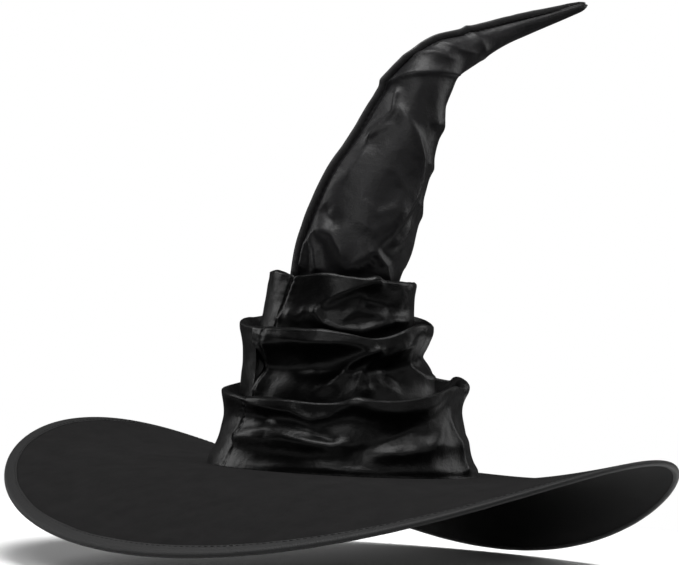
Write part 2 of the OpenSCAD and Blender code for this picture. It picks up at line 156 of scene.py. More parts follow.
def ring_lumps(degrees: Array, y: Array, count: int, seed: int) -> Array:
    """Lumps that join up round a ring.

    Args:
        degrees: Direction round the ring.
        y: Second coordinate, in lumps.
        count: Lumps to a turn.
        seed: Which pattern of lumps.

    Returns:
        Heights from about -1 to 1.
    """
    join_from = 330.0
    turn = np.mod(degrees, 360.0) / 360.0 * count
    join = smooth(np.mod(degrees, 360.0), join_from, 360.0)
    return lumps(turn, y, seed) * (1 - join) + lumps(turn - count, y, seed) * join


# ---- folds -------------------------------------------------------------------


class Edge(Enum):
    """How a fold ends at the two ends of its line."""

    FADED = "faded"
    OPEN_START = "open_start"
    OPEN_END = "open_end"
    OPEN = "open"


@dataclass
class Fold:
    """A ridge or a hollow that runs along a line on the cloth.

    line holds (degrees, share) points on the cloth. The left of the line, as it
    runs, falls away over the width left, and the right of it over the width right.
    height, left and right are in millimetres.
    """

    line: list[tuple[float, float]]
    height: float
    left: float
    right: float
    edge: Edge = Edge.FADED

    def heights(self, x: Array, y: Array, scale: tuple[float, float]) -> Array:
        """How far the fold lifts the cloth at each vertex.

        Args:
            x: Degrees round the piece.
            y: Share of the way up it.
            scale: Metres to a degree and to a whole share.

        Returns:
            Heights in metres.
        """
        p = np.array(self.line, float) * scale
        if len(p) == 1:
            p = np.vstack([p, p + [SAME_POINT, 0.0]])
        px, py = x * scale[0], y * scale[1]
        best = np.full(len(x), np.inf)
        side = np.zeros(len(x))
        where = np.zeros(len(x))
        lengths = np.linalg.norm(np.diff(p, axis=0), axis=1)
        starts = np.concatenate([[0.0], np.cumsum(lengths)])
        for k, (a, b) in enumerate(zip(p[:-1], p[1:])):
            d = b - a
            wx, wy = px - a[0], py - a[1]
            t = np.clip((wx * d[0] + wy * d[1]) / (d @ d), 0.0, 1.0)
            distance = np.hypot(wx - t * d[0], wy - t * d[1])
            nearer = distance < best
            best = np.where(nearer, distance, best)
            side = np.where(nearer, (d[0] * wy - d[1] * wx) / math.hypot(*d), side)
            where = np.where(nearer, (starts[k] + t * lengths[k]) / starts[-1], where)
        soft = 0.5 + 0.5 * np.tanh(side / SIDE_BLEND)
        width = self.left * MM * soft + self.right * MM * (1.0 - soft)
        shape = np.exp(-np.power(best / width, FALL_POWER))
        if len(self.line) > 1 and self.edge in (Edge.FADED, Edge.OPEN_END):
            shape = shape * smooth(where, *FADE)
        if len(self.line) > 1 and self.edge in (Edge.FADED, Edge.OPEN_START):
            shape = shape * smooth(1.0 - where, *FADE)
        return self.height * MM * shape


def fold_heights(folds: list[Fold], x: Array, y: Array, scale: tuple[float, float]) -> Array:
    """The sum of all folds at each vertex."""
    return sum((f.heights(x, y, scale) for f in folds), np.zeros(len(x)))


# ---- meshes ------------------------------------------------------------------


def finish_mesh(bm: bmesh.types.BMesh, name: str) -> bpy.types.Object:
    """Turns a bmesh into a smooth-shaded object at the origin.

    Args:
        bm: The mesh, which is freed.
        name: The piece's name.

    Returns:
        The piece.
    """
    mesh = bpy.data.meshes.new(name)
    bm.to_mesh(mesh)
    bm.free()
    mesh.shade_smooth()
    piece = bpy.data.objects.new(name, mesh)
    bpy.context.scene.collection.objects.link(piece)
    return piece


def cloth_grid(place: Place, around: int, along: int, joined: bool = True) -> bmesh.types.BMesh:
    """A grid of cloth laid on a surface.

    Args:
        place: Gives each vertex's point from its share around and its share along.
        around: Faces around the piece.
        along: Faces along it.
        joined: Whether the two sides meet and are merged.

    Returns:
        The grid as a bmesh, with the two shares as its UV map.
    """
    bm = bmesh.new()
    bmesh.ops.create_grid(bm, x_segments=around, y_segments=along, size=0.5)
    flat = np.array([v.co for v in bm.verts]) + 0.5
    points = place(flat[:, 0], flat[:, 1])
    layer = bm.loops.layers.uv.new("UVMap")
    for face in bm.faces:
        for loop in face.loops:
            loop[layer].uv = (loop.vert.co.x + 0.5, loop.vert.co.y + 0.5)
    for vertex, point in zip(bm.verts, points):
        vertex.co = point
    if joined:
        bmesh.ops.remove_doubles(bm, verts=bm.verts, dist=SAME_POINT)
    return bm


def relax(bm: bmesh.types.BMesh, times: int) -> None:
    """Lets a cloth's sharp creases relax, but keeps its open edges.

    Args:
        bm: The cloth.
        times: How many times each point moves towards its neighbours.
    """
    verts = [v for v in bm.verts if not v.is_boundary]
    for _ in range(times):
        bmesh.ops.smooth_vert(bm, verts=verts, factor=0.5, use_axis_x=True, use_axis_y=True, use_axis_z=True)


def face_out(bm: bmesh.types.BMesh, score: Score) -> None:
    """Makes a cloth's faces agree, and flips them all where that is the wrong side.

    Args:
        bm: The cloth.
        score: A face's share in the vote, above 0 where the face looks the right way.
    """
    bmesh.ops.recalc_face_normals(bm, faces=bm.faces)
    if sum(score(f) for f in bm.faces) < 0:
        bmesh.ops.reverse_faces(bm, faces=bm.faces)


def away_from(inside: Vector) -> Score:
    """Scores a face by how much of it looks away from a point."""
    return lambda f: f.normal.dot(f.calc_center_median() - inside) * f.calc_area()


def thicken(piece: bpy.types.Object, thickness: float) -> None:
    """Gives cloth its thickness, on the side that its faces look away from.

    Args:
        piece: The cloth.
        thickness: Its thickness.
    """
    solid = piece.modifiers.new("thickness", "SOLIDIFY")
    solid.thickness = thickness
    solid.offset = -1.0
    solid.use_even_offset = False
    bake(piece)


def bake(piece: bpy.types.Object) -> None:
    """Applies every modifier on a piece.

    Args:
        piece: The piece.
    """
    graph = bpy.context.evaluated_depsgraph_get()
    mesh = bpy.data.meshes.new_from_object(
        piece.evaluated_get(graph), preserve_all_data_layers=True, depsgraph=graph)
    old = piece.data
    mesh.name = old.name
    piece.modifiers.clear()
    piece.data = mesh
    bpy.data.meshes.remove(old)


def stitches(name: str, starts: Array, ends: Array, width: float) -> bpy.types.Object:
    """A row of short stitches, each a small spindle of thread.

    Args:
        name: The piece's name.
        starts: Where each stitch goes in.
        ends: Where each stitch comes out.
        width: Thickness of the thread.

    Returns:
        One object that holds all the stitches.
    """
    bm = bmesh.new()
    for a, b in zip(starts, ends):
        a, b = Vector(a), Vector(b)
        turn = (b - a).to_track_quat("Z", "Y").to_matrix().to_4x4()
        size = Matrix.Diagonal((width / 2, width / 2, (b - a).length / 2, 1.0))
        place = Matrix.Translation((a + b) / 2) @ turn @ size
        bmesh.ops.create_uvsphere(bm, u_segments=6, v_segments=4, radius=1.0, matrix=place)
    return finish_mesh(bm, name)


# ---- finishes ----------------------------------------------------------------


class Maths:
    """A shader value whose operators add Math nodes to its material."""

    def __init__(self, shader: "Shader", socket: bpy.types.NodeSocket) -> None:
        """Wraps an output socket."""
        self.shader = shader
        self.socket = socket

    def _do(self, operation: str, *inputs: "Maths | float") -> "Maths":
        """Adds one Math node."""
        return self.shader.node("ShaderNodeMath", {"operation": operation}, dict(enumerate(inputs)))

    def __add__(self, other: "Maths | float") -> "Maths":
        """Sum."""
        return self._do("ADD", self, other)

    __radd__ = __add__

    def __sub__(self, other: "Maths | float") -> "Maths":
        """Difference."""
        return self._do("SUBTRACT", self, other)

    def __rsub__(self, other: float) -> "Maths":
        """Difference from a number."""
        return self._do("SUBTRACT", other, self)

    def __mul__(self, other: "Maths | float") -> "Maths":
        """Product."""
        return self._do("MULTIPLY", self, other)

    def sin(self) -> "Maths":
        """Sine of a value in radians."""
        return self._do("SINE", self)

    def clamp(self) -> "Maths":
        """The value held between 0 and 1."""
        return self._do("MINIMUM", self._do("MAXIMUM", self, 0.0), 1.0)


class Shader:
    """A material's node tree, with one method that adds any node."""

    def __init__(self, name: str) -> None:
        """Makes the material with a Principled shader.

        Args:
            name: The material's name.
        """
        self.material = bpy.data.materials.new(name)
        self.material.use_nodes = True
        self.tree = self.material.node_tree
        self.tree.nodes.clear()
        output = self.tree.nodes.new("ShaderNodeOutputMaterial")
        self.principled = self.tree.nodes.new("ShaderNodeBsdfPrincipled")
        self.tree.links.new(self.principled.outputs[0], output.inputs[0])

    def node(
        self, kind: str, settings: dict[str, object], inputs: dict[int | str, object], out: int | str = 0,
    ) -> Maths:
        """Adds a node.

        Args:
            kind: The node's type.
            settings: Its properties, set before its inputs.
            inputs: Values or wrapped sockets for its inputs, by name or number.
            out: Which output is returned.

        Returns:
            The wrapped output.
        """
        node = self.tree.nodes.new(kind)
        for key, value in settings.items():
            setattr(node, key, value)
        for key, value in inputs.items():
            self.feed(node.inputs[key], value)
        return Maths(self, node.outputs[out])

    def feed(self, socket: bpy.types.NodeSocket, value: object) -> None:
        """Links a wrapped socket to an input, or sets the input's value.

        Args:
            socket: The input.
            value: A wrapped socket, or a plain value.
        """
        if isinstance(value, Maths):
            self.tree.links.new(value.socket, socket)
        else:
            socket.default_value = value

    def set(self, **inputs: object) -> None:
        """Sets inputs of the Principled shader, with _ for a space in their names."""
        for key, value in inputs.items():
            self.feed(self.principled.inputs[key.replace("_", " ")], value)

    def place(self, source: str = "Object") -> Maths:
        """Coordinates of the point that is shaded."""
        return self.node("ShaderNodeTexCoord", {}, {}, source)

    def noise(self, where: Maths, scale: float, detail: float = 3.0, rough: float = 0.55) -> Maths:
        """Noise from 0 to 1, scale lumps to a metre."""
        return self.node(
            "ShaderNodeTexNoise", {}, {"Vector": where, "Scale": scale, "Detail": detail, "Roughness": rough})

    def stretch(self, where: Maths, by: tuple[float, float, float]) -> Maths:
        """Coordinates stretched by a factor on each axis."""
        return self.node("ShaderNodeMapping", {}, {"Vector": where, "Scale": by})

    def mix(self, share: Maths, low: tuple[float, float, float], high: tuple[float, float, float]) -> Maths:
        """A colour between two, by a share."""
        return self.node(
            "ShaderNodeMix", {"data_type": "RGBA"}, {0: share, 6: (*low, 1.0), 7: (*high, 1.0)}, 2)

    def axis(self, where: Maths, name: str) -> Maths:
        """One coordinate of a point."""
        return self.node("ShaderNodeSeparateXYZ", {}, {0: where}, name)

    def bump(self, height: Maths, depth: float, under: Maths | None = None) -> Maths:
        """Adds a Bump node.

        Args:
            height: Height from 0 to 1.
            depth: Metres from the lowest point to the highest.
            under: A normal that the bumps are laid on.

        Returns:
            The bumpy normal.
        """
        inputs: dict[int | str, object] = {"Strength": 1.0, "Distance": depth, "Height": height}
        if under is not None:
            inputs["Normal"] = under
        return self.node("ShaderNodeBump", {}, inputs)


@dataclass(frozen=True)
class Satin:
    """Glossy black satin: a smooth weave whose floats run one way."""

    name: str
    dark: tuple[float, float, float]
    light: tuple[float, float, float]
    roughness: float
    shine: float
    threads: float = 2600.0
    contrast: float = 2.2

    def make(self) -> bpy.types.Material:
        """Builds the material.

        Returns:
            The material.
        """
        s = Shader(self.name)
        where = s.place()
        cloud = ((s.noise(where, scale=16.0, detail=4.0) - 0.5) * self.contrast + 0.5).clamp()
        grain = s.noise(where, scale=1300.0, detail=2.0)
        slub = s.noise(s.stretch(where, by=(0.25, 0.25, 1.0)), scale=900.0, detail=2.0)
        weave = s.noise(s.stretch(where, by=(1.0, 1.0, 0.2)), scale=self.threads, detail=1.0, rough=0.4)
        creases = s.bump(s.noise(where, scale=70.0, detail=4.0), depth=0.0009)
        s.set(
            Base_Color=s.mix(cloud, self.dark, self.light),
            Roughness=self.roughness + (cloud - 0.5) * 0.10 + (slub - 0.5) * 0.10 + (grain - 0.5) * 0.25,
            Normal=s.bump(weave * 0.3 + slub * 0.3 + grain * 0.4, depth=0.00022, under=creases),
            Specular_IOR_Level=self.shine)
        return s.material


@dataclass(frozen=True)
class PlainWeave:
    """A matte woven cloth with crossing threads and a faint mottle."""

    name: str
    dark: tuple[float, float, float]
    light: tuple[float, float, float]
    roughness: float = 0.85
    pitch: float = 0.00085
    mottle: float = 60.0
    sheen: float = 0.15

    def make(self) -> bpy.types.Material:
        """Builds the material.

        Returns:
            The material.
        """
        s = Shader(self.name)
        where = s.place()
        turn = 2.0 * math.pi / self.pitch
        warp = (s.axis(where, "X") * turn).sin()
        weft = (s.axis(where, "Y") * turn).sin()
        weave = warp * weft * 0.5 + 0.5
        cloud = s.noise(where, scale=self.mottle, detail=5.0, rough=0.65)
        fuzz = s.noise(where, scale=1400.0, detail=2.0)
        s.set(
            Base_Color=s.mix((cloud * 0.6 + fuzz * 0.4 - 0.25) * 2.0, self.dark, self.light),
            Roughness=self.roughness + (fuzz - 0.5) * 0.1,
            Normal=s.bump(weave * 0.7 + fuzz * 0.3, depth=0.00012, under=s.bump(cloud, depth=0.0004)),
            Specular_IOR_Level=0.06, Sheen_Weight=self.sheen, Sheen_Roughness=0.5)
        return s.material


@dataclass(frozen=True)
class Ribbed:
    """A narrow tape with fine ribs across it, as many to a turn as ribs says."""

    name: str
    colour: tuple[float, float, float]
    ribs: float
    roughness: float = 0.6

    def make(self) -> bpy.types.Material:
        """Builds the material.

        Returns:
            The material.
        """
        s = Shader(self.name)
        uv = s.place("UV")
        rib = (s.axis(uv, "X") * (self.ribs * 2.0 * math.pi)).sin() * 0.5 + 0.5
        fuzz = s.noise(s.place(), scale=900.0, detail=3.0)
        low = tuple(c * 0.7 for c in self.colour)
        high = tuple(c * 1.4 for c in self.colour)
        s.set(
            Base_Color=s.mix(rib * 0.5 + fuzz * 0.5, low, high),
            Roughness=self.roughness + (fuzz - 0.5) * 0.15,
            Normal=s.bump(rib * 0.7 + fuzz * 0.3, depth=0.00015),
            Specular_IOR_Level=0.25)
        return s.material


@dataclass(frozen=True)
class Thread:
    """Twisted black sewing thread."""

    name: str = "thread"
    colour: tuple[float, float, float] = (0.004, 0.004, 0.004)
    twists: float = 9000.0

    def make(self) -> bpy.types.Material:
        """Builds the material.

        Returns:
            The material.
        """
        s = Shader(self.name)
        where = s.place()
        lay = (s.axis(where, "X") + s.axis(where, "Y") + s.axis(where, "Z")) * self.twists
        twist = lay.sin() * 0.5 + 0.5
        low = tuple(c * 0.6 for c in self.colour)
        high = tuple(c * 1.8 for c in self.colour)
        s.set(Base_Color=s.mix(twist, low, high), Roughness=0.42 + twist * 0.1,
              Normal=s.bump(twist, depth=0.00008), Specular_IOR_Level=0.15)
        return s.material


@dataclass(frozen=True)
class Foam:
    """Stiff grey foam sheet with small open cells."""

    name: str = "foam"

    def make(self) -> bpy.types.Material:
        """Builds the material.

        Returns:
            The material.
        """
        s = Shader(self.name)
        where = s.place()
        cells = s.node("ShaderNodeTexVoronoi", {"feature": "F1"}, {"Vector": where, "Scale": 900.0})
        s.set(Base_Color=s.mix(cells, (0.10, 0.10, 0.11), (0.24, 0.24, 0.25)), Roughness=0.9 - cells * 0.1,
              Normal=s.bump(cells, depth=0.0004))
        return s.material


@dataclass(frozen=True)
class Wire:
    """Drawn steel wire with fine marks."""

    name: str = "spring_wire"

    def make(self) -> bpy.types.Material:
        """Builds the material.

        Returns:
            The material.
        """
        s = Shader(self.name)
        marks = s.noise(s.place(), scale=700.0, detail=4.0)
        s.set(Base_Color=s.mix(marks, (0.42, 0.43, 0.45), (0.66, 0.67, 0.69)), Metallic=1.0,
              Roughness=0.28 + marks * 0.2, Normal=s.bump(marks, depth=0.00005))
        return s.material


@dataclass(frozen=True)
class Plastic:
    """Small moulded black plastic cap."""

    name: str = "cap_plastic"

    def make(self) -> bpy.types.Material:
        """Builds the material.

        Returns:
            The material.
        """
        s = Shader(self.name)
        grain = s.noise(s.place(), scale=1500.0, detail=2.0)
        s.set(Base_Color=s.mix(grain, (0.02, 0.02, 0.02), (0.04, 0.04, 0.04)), Roughness=0.4 + grain * 0.15,
              Normal=s.bump(grain, depth=0.00003))
        return s.material


@dataclass(frozen=True)
class Label:
    """Blank off-white woven label with a fine cross weave."""

    name: str = "label_cloth"
    warp: float = 500.0
    weft: float = 380.0

    def make(self) -> bpy.types.Material:
        """Builds the material.

        Returns:
            The material.
        """
        s = Shader(self.name)
        uv = s.place("UV")
        weave = (s.axis(uv, "X") * self.warp).sin() * (s.axis(uv, "Y") * self.weft).sin() * 0.5 + 0.5
        soil = s.noise(s.place(), scale=120.0, detail=4.0)
        s.set(Base_Color=s.mix(weave * 0.4 + soil * 0.6, (0.60, 0.58, 0.53), (0.80, 0.79, 0.75)),
              Roughness=0.75 + soil * 0.1, Normal=s.bump(weave, depth=0.0001))
        return s.material


class Finishes:
    """All finishes of the hat, made once and looked up by name."""

    def __init__(self) -> None:
        """Makes every material."""
        makers = (
            # Darkest copy of the one black satin, for the tucks: painted deep shade in their walls.
            Satin("crown_satin", (0.0004, 0.0004, 0.0004), (0.0011, 0.0011, 0.0012),
                  roughness=0.36, shine=0.14),
            # Lighter copy of the same black satin for the cone: painted light, the broad grey sheen the cone
            # catches.
            Satin("cone_satin_painted_light", (0.0022, 0.0021, 0.0024), (0.0105, 0.0101, 0.0110),
                  roughness=0.43, shine=0.16),
            # Lighter copy still of the same black satin for the seam channel: painted light on its face.
            Satin("seam_satin_painted_light", (0.0090, 0.0088, 0.0092), (0.0180, 0.0175, 0.0184),
                  roughness=0.50, shine=0.25),
            PlainWeave("brim_cloth", (0.0045, 0.0044, 0.0045), (0.0115, 0.0110, 0.0112), sheen=0.01),
            PlainWeave("brim_lining", (0.0022, 0.0022, 0.0022), (0.005, 0.005, 0.005),
                       roughness=0.8, pitch=0.0007, mottle=40.0, sheen=0.0),
            PlainWeave("head_lining", (0.008, 0.008, 0.008), (0.022, 0.022, 0.023),
                       roughness=0.7, pitch=0.0005, mottle=50.0, sheen=0.1),
            Ribbed("binding_tape", (0.0050, 0.0050, 0.0052), ribs=1500.0),
            Ribbed("sweatband_tape", (0.020, 0.020, 0.021), ribs=420.0),
            Thread(), Foam(), Wire(), Plastic(), Label())
        self.by_slot = {maker.name: maker.make() for maker in makers}

    def dress(self, piece: bpy.types.Object, slot: str) -> None:
        """Gives a piece the finish of a slot, on every material slot it has.

        Args:
            piece: The piece, or a frame node.
            slot: The slot, or a finish's own name.
        """
        if not piece.data.materials:
            piece.data.materials.append(self.by_slot[slot])
        for k in range(len(piece.data.materials)):
            piece.data.materials[k] = self.by_slot[slot]


# ---- brim --------------------------------------------------------------------


@dataclass
class Brim:
    """The wide wired brim: foam between two cover cloths, the bound edge and its stitches."""

    finishes: Finishes
    root_r: float = 101.5 * MM
    hole_r: float = 90.1 * MM
    thickness: float = 3.0 * MM
    cover_t: float = 0.5 * MM
    wave: float = 41.5 * MM
    wave_at: float = 115.0
    droop: float = 17.0 * MM
    tilt: float = 3.3 * MM
    tilt_at: float = 28.0
    ripple: float = 5.0 * MM
    ripple_at: float = -34.0
    shift: float = 3.0 * MM
    curl: float = 1.8
    top_w: float = 9.0 * MM
    under_w: float = 4.5 * MM
    stitch: float = 3.0 * MM
    stitch_gap: float = 1.5 * MM
    cover_gap: float = 1.6 * MM
    core_gap: float = 4.0 * MM
    under_calm: float = 0.6
    lump_l: float = 0.045
    pucker_l: float = 0.02
    bead: float = 2.4 * MM
    tape_t: float = 0.55 * MM

    def __post_init__(self) -> None:
        """Takes the edge's radius from the frame."""
        low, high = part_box("brim_binding")
        self.edge_r = (high.x - low.x) / 2

    def surface(self, r: Array, degrees: Array, height: Array | float) -> Array:
        """Points of the brim.

        Args:
            r: Distance from the opening's axis.
            degrees: Direction round the brim.
            height: Height above the brim's underside.

        Returns:
            One point a row.
        """
        a = np.radians(degrees)
        share = np.clip((r - self.root_r) / (self.edge_r - self.root_r), 0.0, None)
        lift = share**self.curl * (
            -self.droop - self.thickness / 2 - self.tilt * np.cos(a - math.radians(self.tilt_at))
            + self.wave * np.cos(2 * (a - math.radians(self.wave_at)))
            + self.ripple * np.cos(3 * (a - math.radians(self.ripple_at))))
        return np.stack([r * np.cos(a), r * np.sin(a) + self.shift * share, lift + height], 1)

    def waves(self, r: Array, degrees: Array) -> Array:
        """Slight unevenness of cloth on foam, and puckers where the edge is sewn.

        Args:
            r: Distance from the opening's axis.
            degrees: Direction round the brim.

        Returns:
            Heights off the plain surface, 0 at the crown's foot and under the edge's tape.
        """
        share = np.clip((r - self.root_r) / (self.edge_r - self.root_r), 0.0, 1.0)
        broad = ring_lumps(degrees, r / self.lump_l, count=16, seed=3) * 0.35 * MM + 0.3 * MM
        pucker = ring_lumps(degrees, r / self.pucker_l, count=130, seed=5) * 0.22 * MM
        pucker = pucker * smooth(share, 0.84, 0.92)
        bound = smooth(r, self.edge_r - self.top_w - 5 * MM, self.edge_r - self.top_w + 0.5 * MM)
        return (broad + pucker) * smooth(share, 0.0, 0.2) * (1.0 - bound)

    def cover(self, name: str, top: bool, detail: int) -> bpy.types.Object:
        """One of the two cover cloths.

        Args:
            name: The piece's name.
            top: Whether it is the top cloth.
            detail: Faces from the opening to the edge.

        Returns:
            The piece.
        """
        outer = self.edge_r - self.cover_gap
        level = self.thickness if top else 0.0
        depth = 1.0 if top else -self.under_calm

        def place(u: Array, t: Array) -> Array:
            """Points of the cover.

            Args:
                u: Share around, from the back.
                t: Share out from the opening.

            Returns:
                One point a row.
            """
            r = self.hole_r + (outer - self.hole_r) * t
            degrees = 180.0 + 360.0 * u
            return self.surface(r, degrees, level + self.waves(r, degrees) * depth)

        bm = cloth_grid(place, around=6 * detail, along=detail)
        face_out(bm, lambda f: f.normal.z if top else -f.normal.z)
        piece = finish_mesh(bm, name)
        thicken(piece, self.cover_t * 0.9)
        return piece

    def core(self) -> bpy.types.Object:
        """The stiff foam sheet between the covers.

        Returns:
            The piece.
        """
        outer = self.edge_r - self.core_gap
        inner = self.hole_r + 0.3 * MM
        slack = 0.05 * MM
        level = self.thickness - self.cover_t - slack

        def place(u: Array, t: Array) -> Array:
            """Point at a share around and a share out."""
            return self.surface(inner + (outer - inner) * t, 180.0 + 360.0 * u, level)

        bm = cloth_grid(place, around=240, along=40)
        face_out(bm, lambda f: f.normal.z)
        piece = finish_mesh(bm, "brim_foam")
        thicken(piece, self.thickness - 2 * self.cover_t - 2 * slack)
        return piece

    def binding(self) -> bpy.types.Object:
        """The tape folded over the edge, with a bead where the wire lies.

        Returns:
            The piece.
        """
        top, low = self.thickness + self.tape_t, -self.tape_t
        mid = (top + low) / 2
        half = (top - low) / 2
        points = np.array([
            (self.edge_r - self.top_w, self.thickness + 0.05 * MM),
            (self.edge_r - self.top_w + 0.5 * MM, top - 0.05 * MM),
            (self.edge_r - self.top_w + 1.6 * MM, top - 0.22 * MM),
            (self.edge_r - self.top_w + 3.2 * MM, top),
            (self.edge_r - 4.2 * MM, top - 0.05 * MM),
            (self.edge_r - self.bead, mid + half),
            (self.edge_r - 0.9 * MM, mid + half * 0.82),
            (self.edge_r - 0.1 * MM, mid + half * 0.35),
            (self.edge_r - 0.1 * MM, mid - half * 0.35),
            (self.edge_r - 0.9 * MM, mid - half * 0.82),
            (self.edge_r - self.bead, mid - half),
            (self.edge_r - 3.3 * MM, low + 0.2 * MM),
            (self.edge_r - self.under_w, -0.05 * MM),
        ])

        def place(u: Array, t: Array) -> Array:
            """Points of the tape.

            Args:
                u: Share around, from the back.
                t: Share of the way over the edge.

            Returns:
                One point a row.
            """
            p = catmull(points, t * (len(points) - 1))
            degrees = 180.0 + 360.0 * u
            pucker = ring_lumps(degrees, t * 3.0, count=180, seed=8) * 0.12 * MM
            over = np.where(t < 0.5, 1.0, -1.0) * smooth(np.abs(t - 0.5), 0.1, 0.3)
            inner = ring_lumps(degrees, t * 0.0, count=60, seed=9) * 0.35 * MM * smooth(0.2 - t, 0.0, 0.2)
            return self.surface(p[:, 0] + inner, degrees, p[:, 1] + pucker * over)

        bm = cloth_grid(place, around=720, along=26)
        rim = max(f.calc_center_median().x for f in bm.faces)
        face_out(bm, lambda f: f.normal.x if f.calc_center_median().x >= rim else 0.0)
        piece = finish_mesh(bm, "brim_edge_tape")
        thicken(piece, 0.4 * MM)
        return piece

    def edge_stitches(self, name: str, r: float, height: float, width: float) -> bpy.types.Object:
        """A row of stitches round the brim.

        Args:
            name: The piece's name.
            r: Radius of the row.
            height: Height above the brim's underside.
            width: Thickness of the thread.

        Returns:
            The piece.
        """
        count = int(2 * math.pi * r / (self.stitch + self.stitch_gap))
        degrees = np.arange(count) * 360.0 / count
        span = math.degrees(self.stitch / r)
        radius = np.full(count, r)
        starts, ends = (self.surface(radius, d, height) for d in (degrees, degrees + span))
        return stitches(name, starts, ends, width)

    def build(self, detail: int = 90) -> None:
        """Builds and dresses every piece of the brim.

        Args:
            detail: Faces of the top cloth from the opening to the edge.
        """
        top = self.cover("brim_top_cloth", True, detail)
        under = self.cover("brim_under_cloth", False, detail // 2)
        tape = self.binding()
        upper = self.edge_stitches(
            "brim_edge_stitches_top", r=self.edge_r - self.top_w + 1.6 * MM,
            height=self.thickness + 0.45 * MM, width=0.55 * MM)
        lower = self.edge_stitches(
            "brim_edge_stitches_under", r=self.edge_r - self.under_w + 1.2 * MM,
            height=-0.45 * MM, width=0.5 * MM)
        place_piece(self.finishes, top, "brim_cloth", "hat", "brim_top_cover")
        place_piece(self.finishes, under, "brim_lining", "hat", "brim_under_cover")
        place_piece(self.finishes, self.core(), "foam", "hat", "brim_core")
        place_piece(self.finishes, tape, "binding_tape", "hat", "brim_binding")
        place_piece(self.finishes, upper, "thread", "hat", "brim_stitching")
        place_piece(self.finishes, lower, "thread", "hat", "brim_stitching")


def place_piece(
    finishes: Finishes, piece: bpy.types.Object, slot: str, body: str | tuple[str, str], *nodes: str,
    start: Vector | None = None, end: Vector | None = None, finish: str = "",
) -> None:
    """Dresses a piece, puts it on its body, or with two bodies only bakes it in place, and hides the frame
    nodes it stands for.

    Args:
        finishes: The hat's finishes.
        piece: The piece, in place.
        slot: The record's material slot.
        body: The body that it rides on, or two bodies, with which it is only baked in place and rides on
            neither.
        nodes: Frame nodes that it replaces.
        start: Not used.
        end: Not used.
        finish: The finish, where it isn't the one with the slot's name.
    """
    finishes.dress(piece, finish or slot)
    if isinstance(body, tuple):
        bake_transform(piece)
    else:
        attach(piece, body)
    if nodes:
        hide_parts(*nodes)
    log.info("%s: %d faces, on %s", piece.name, len(piece.data.polygons), body)


# ---- crown -------------------------------------------------------------------


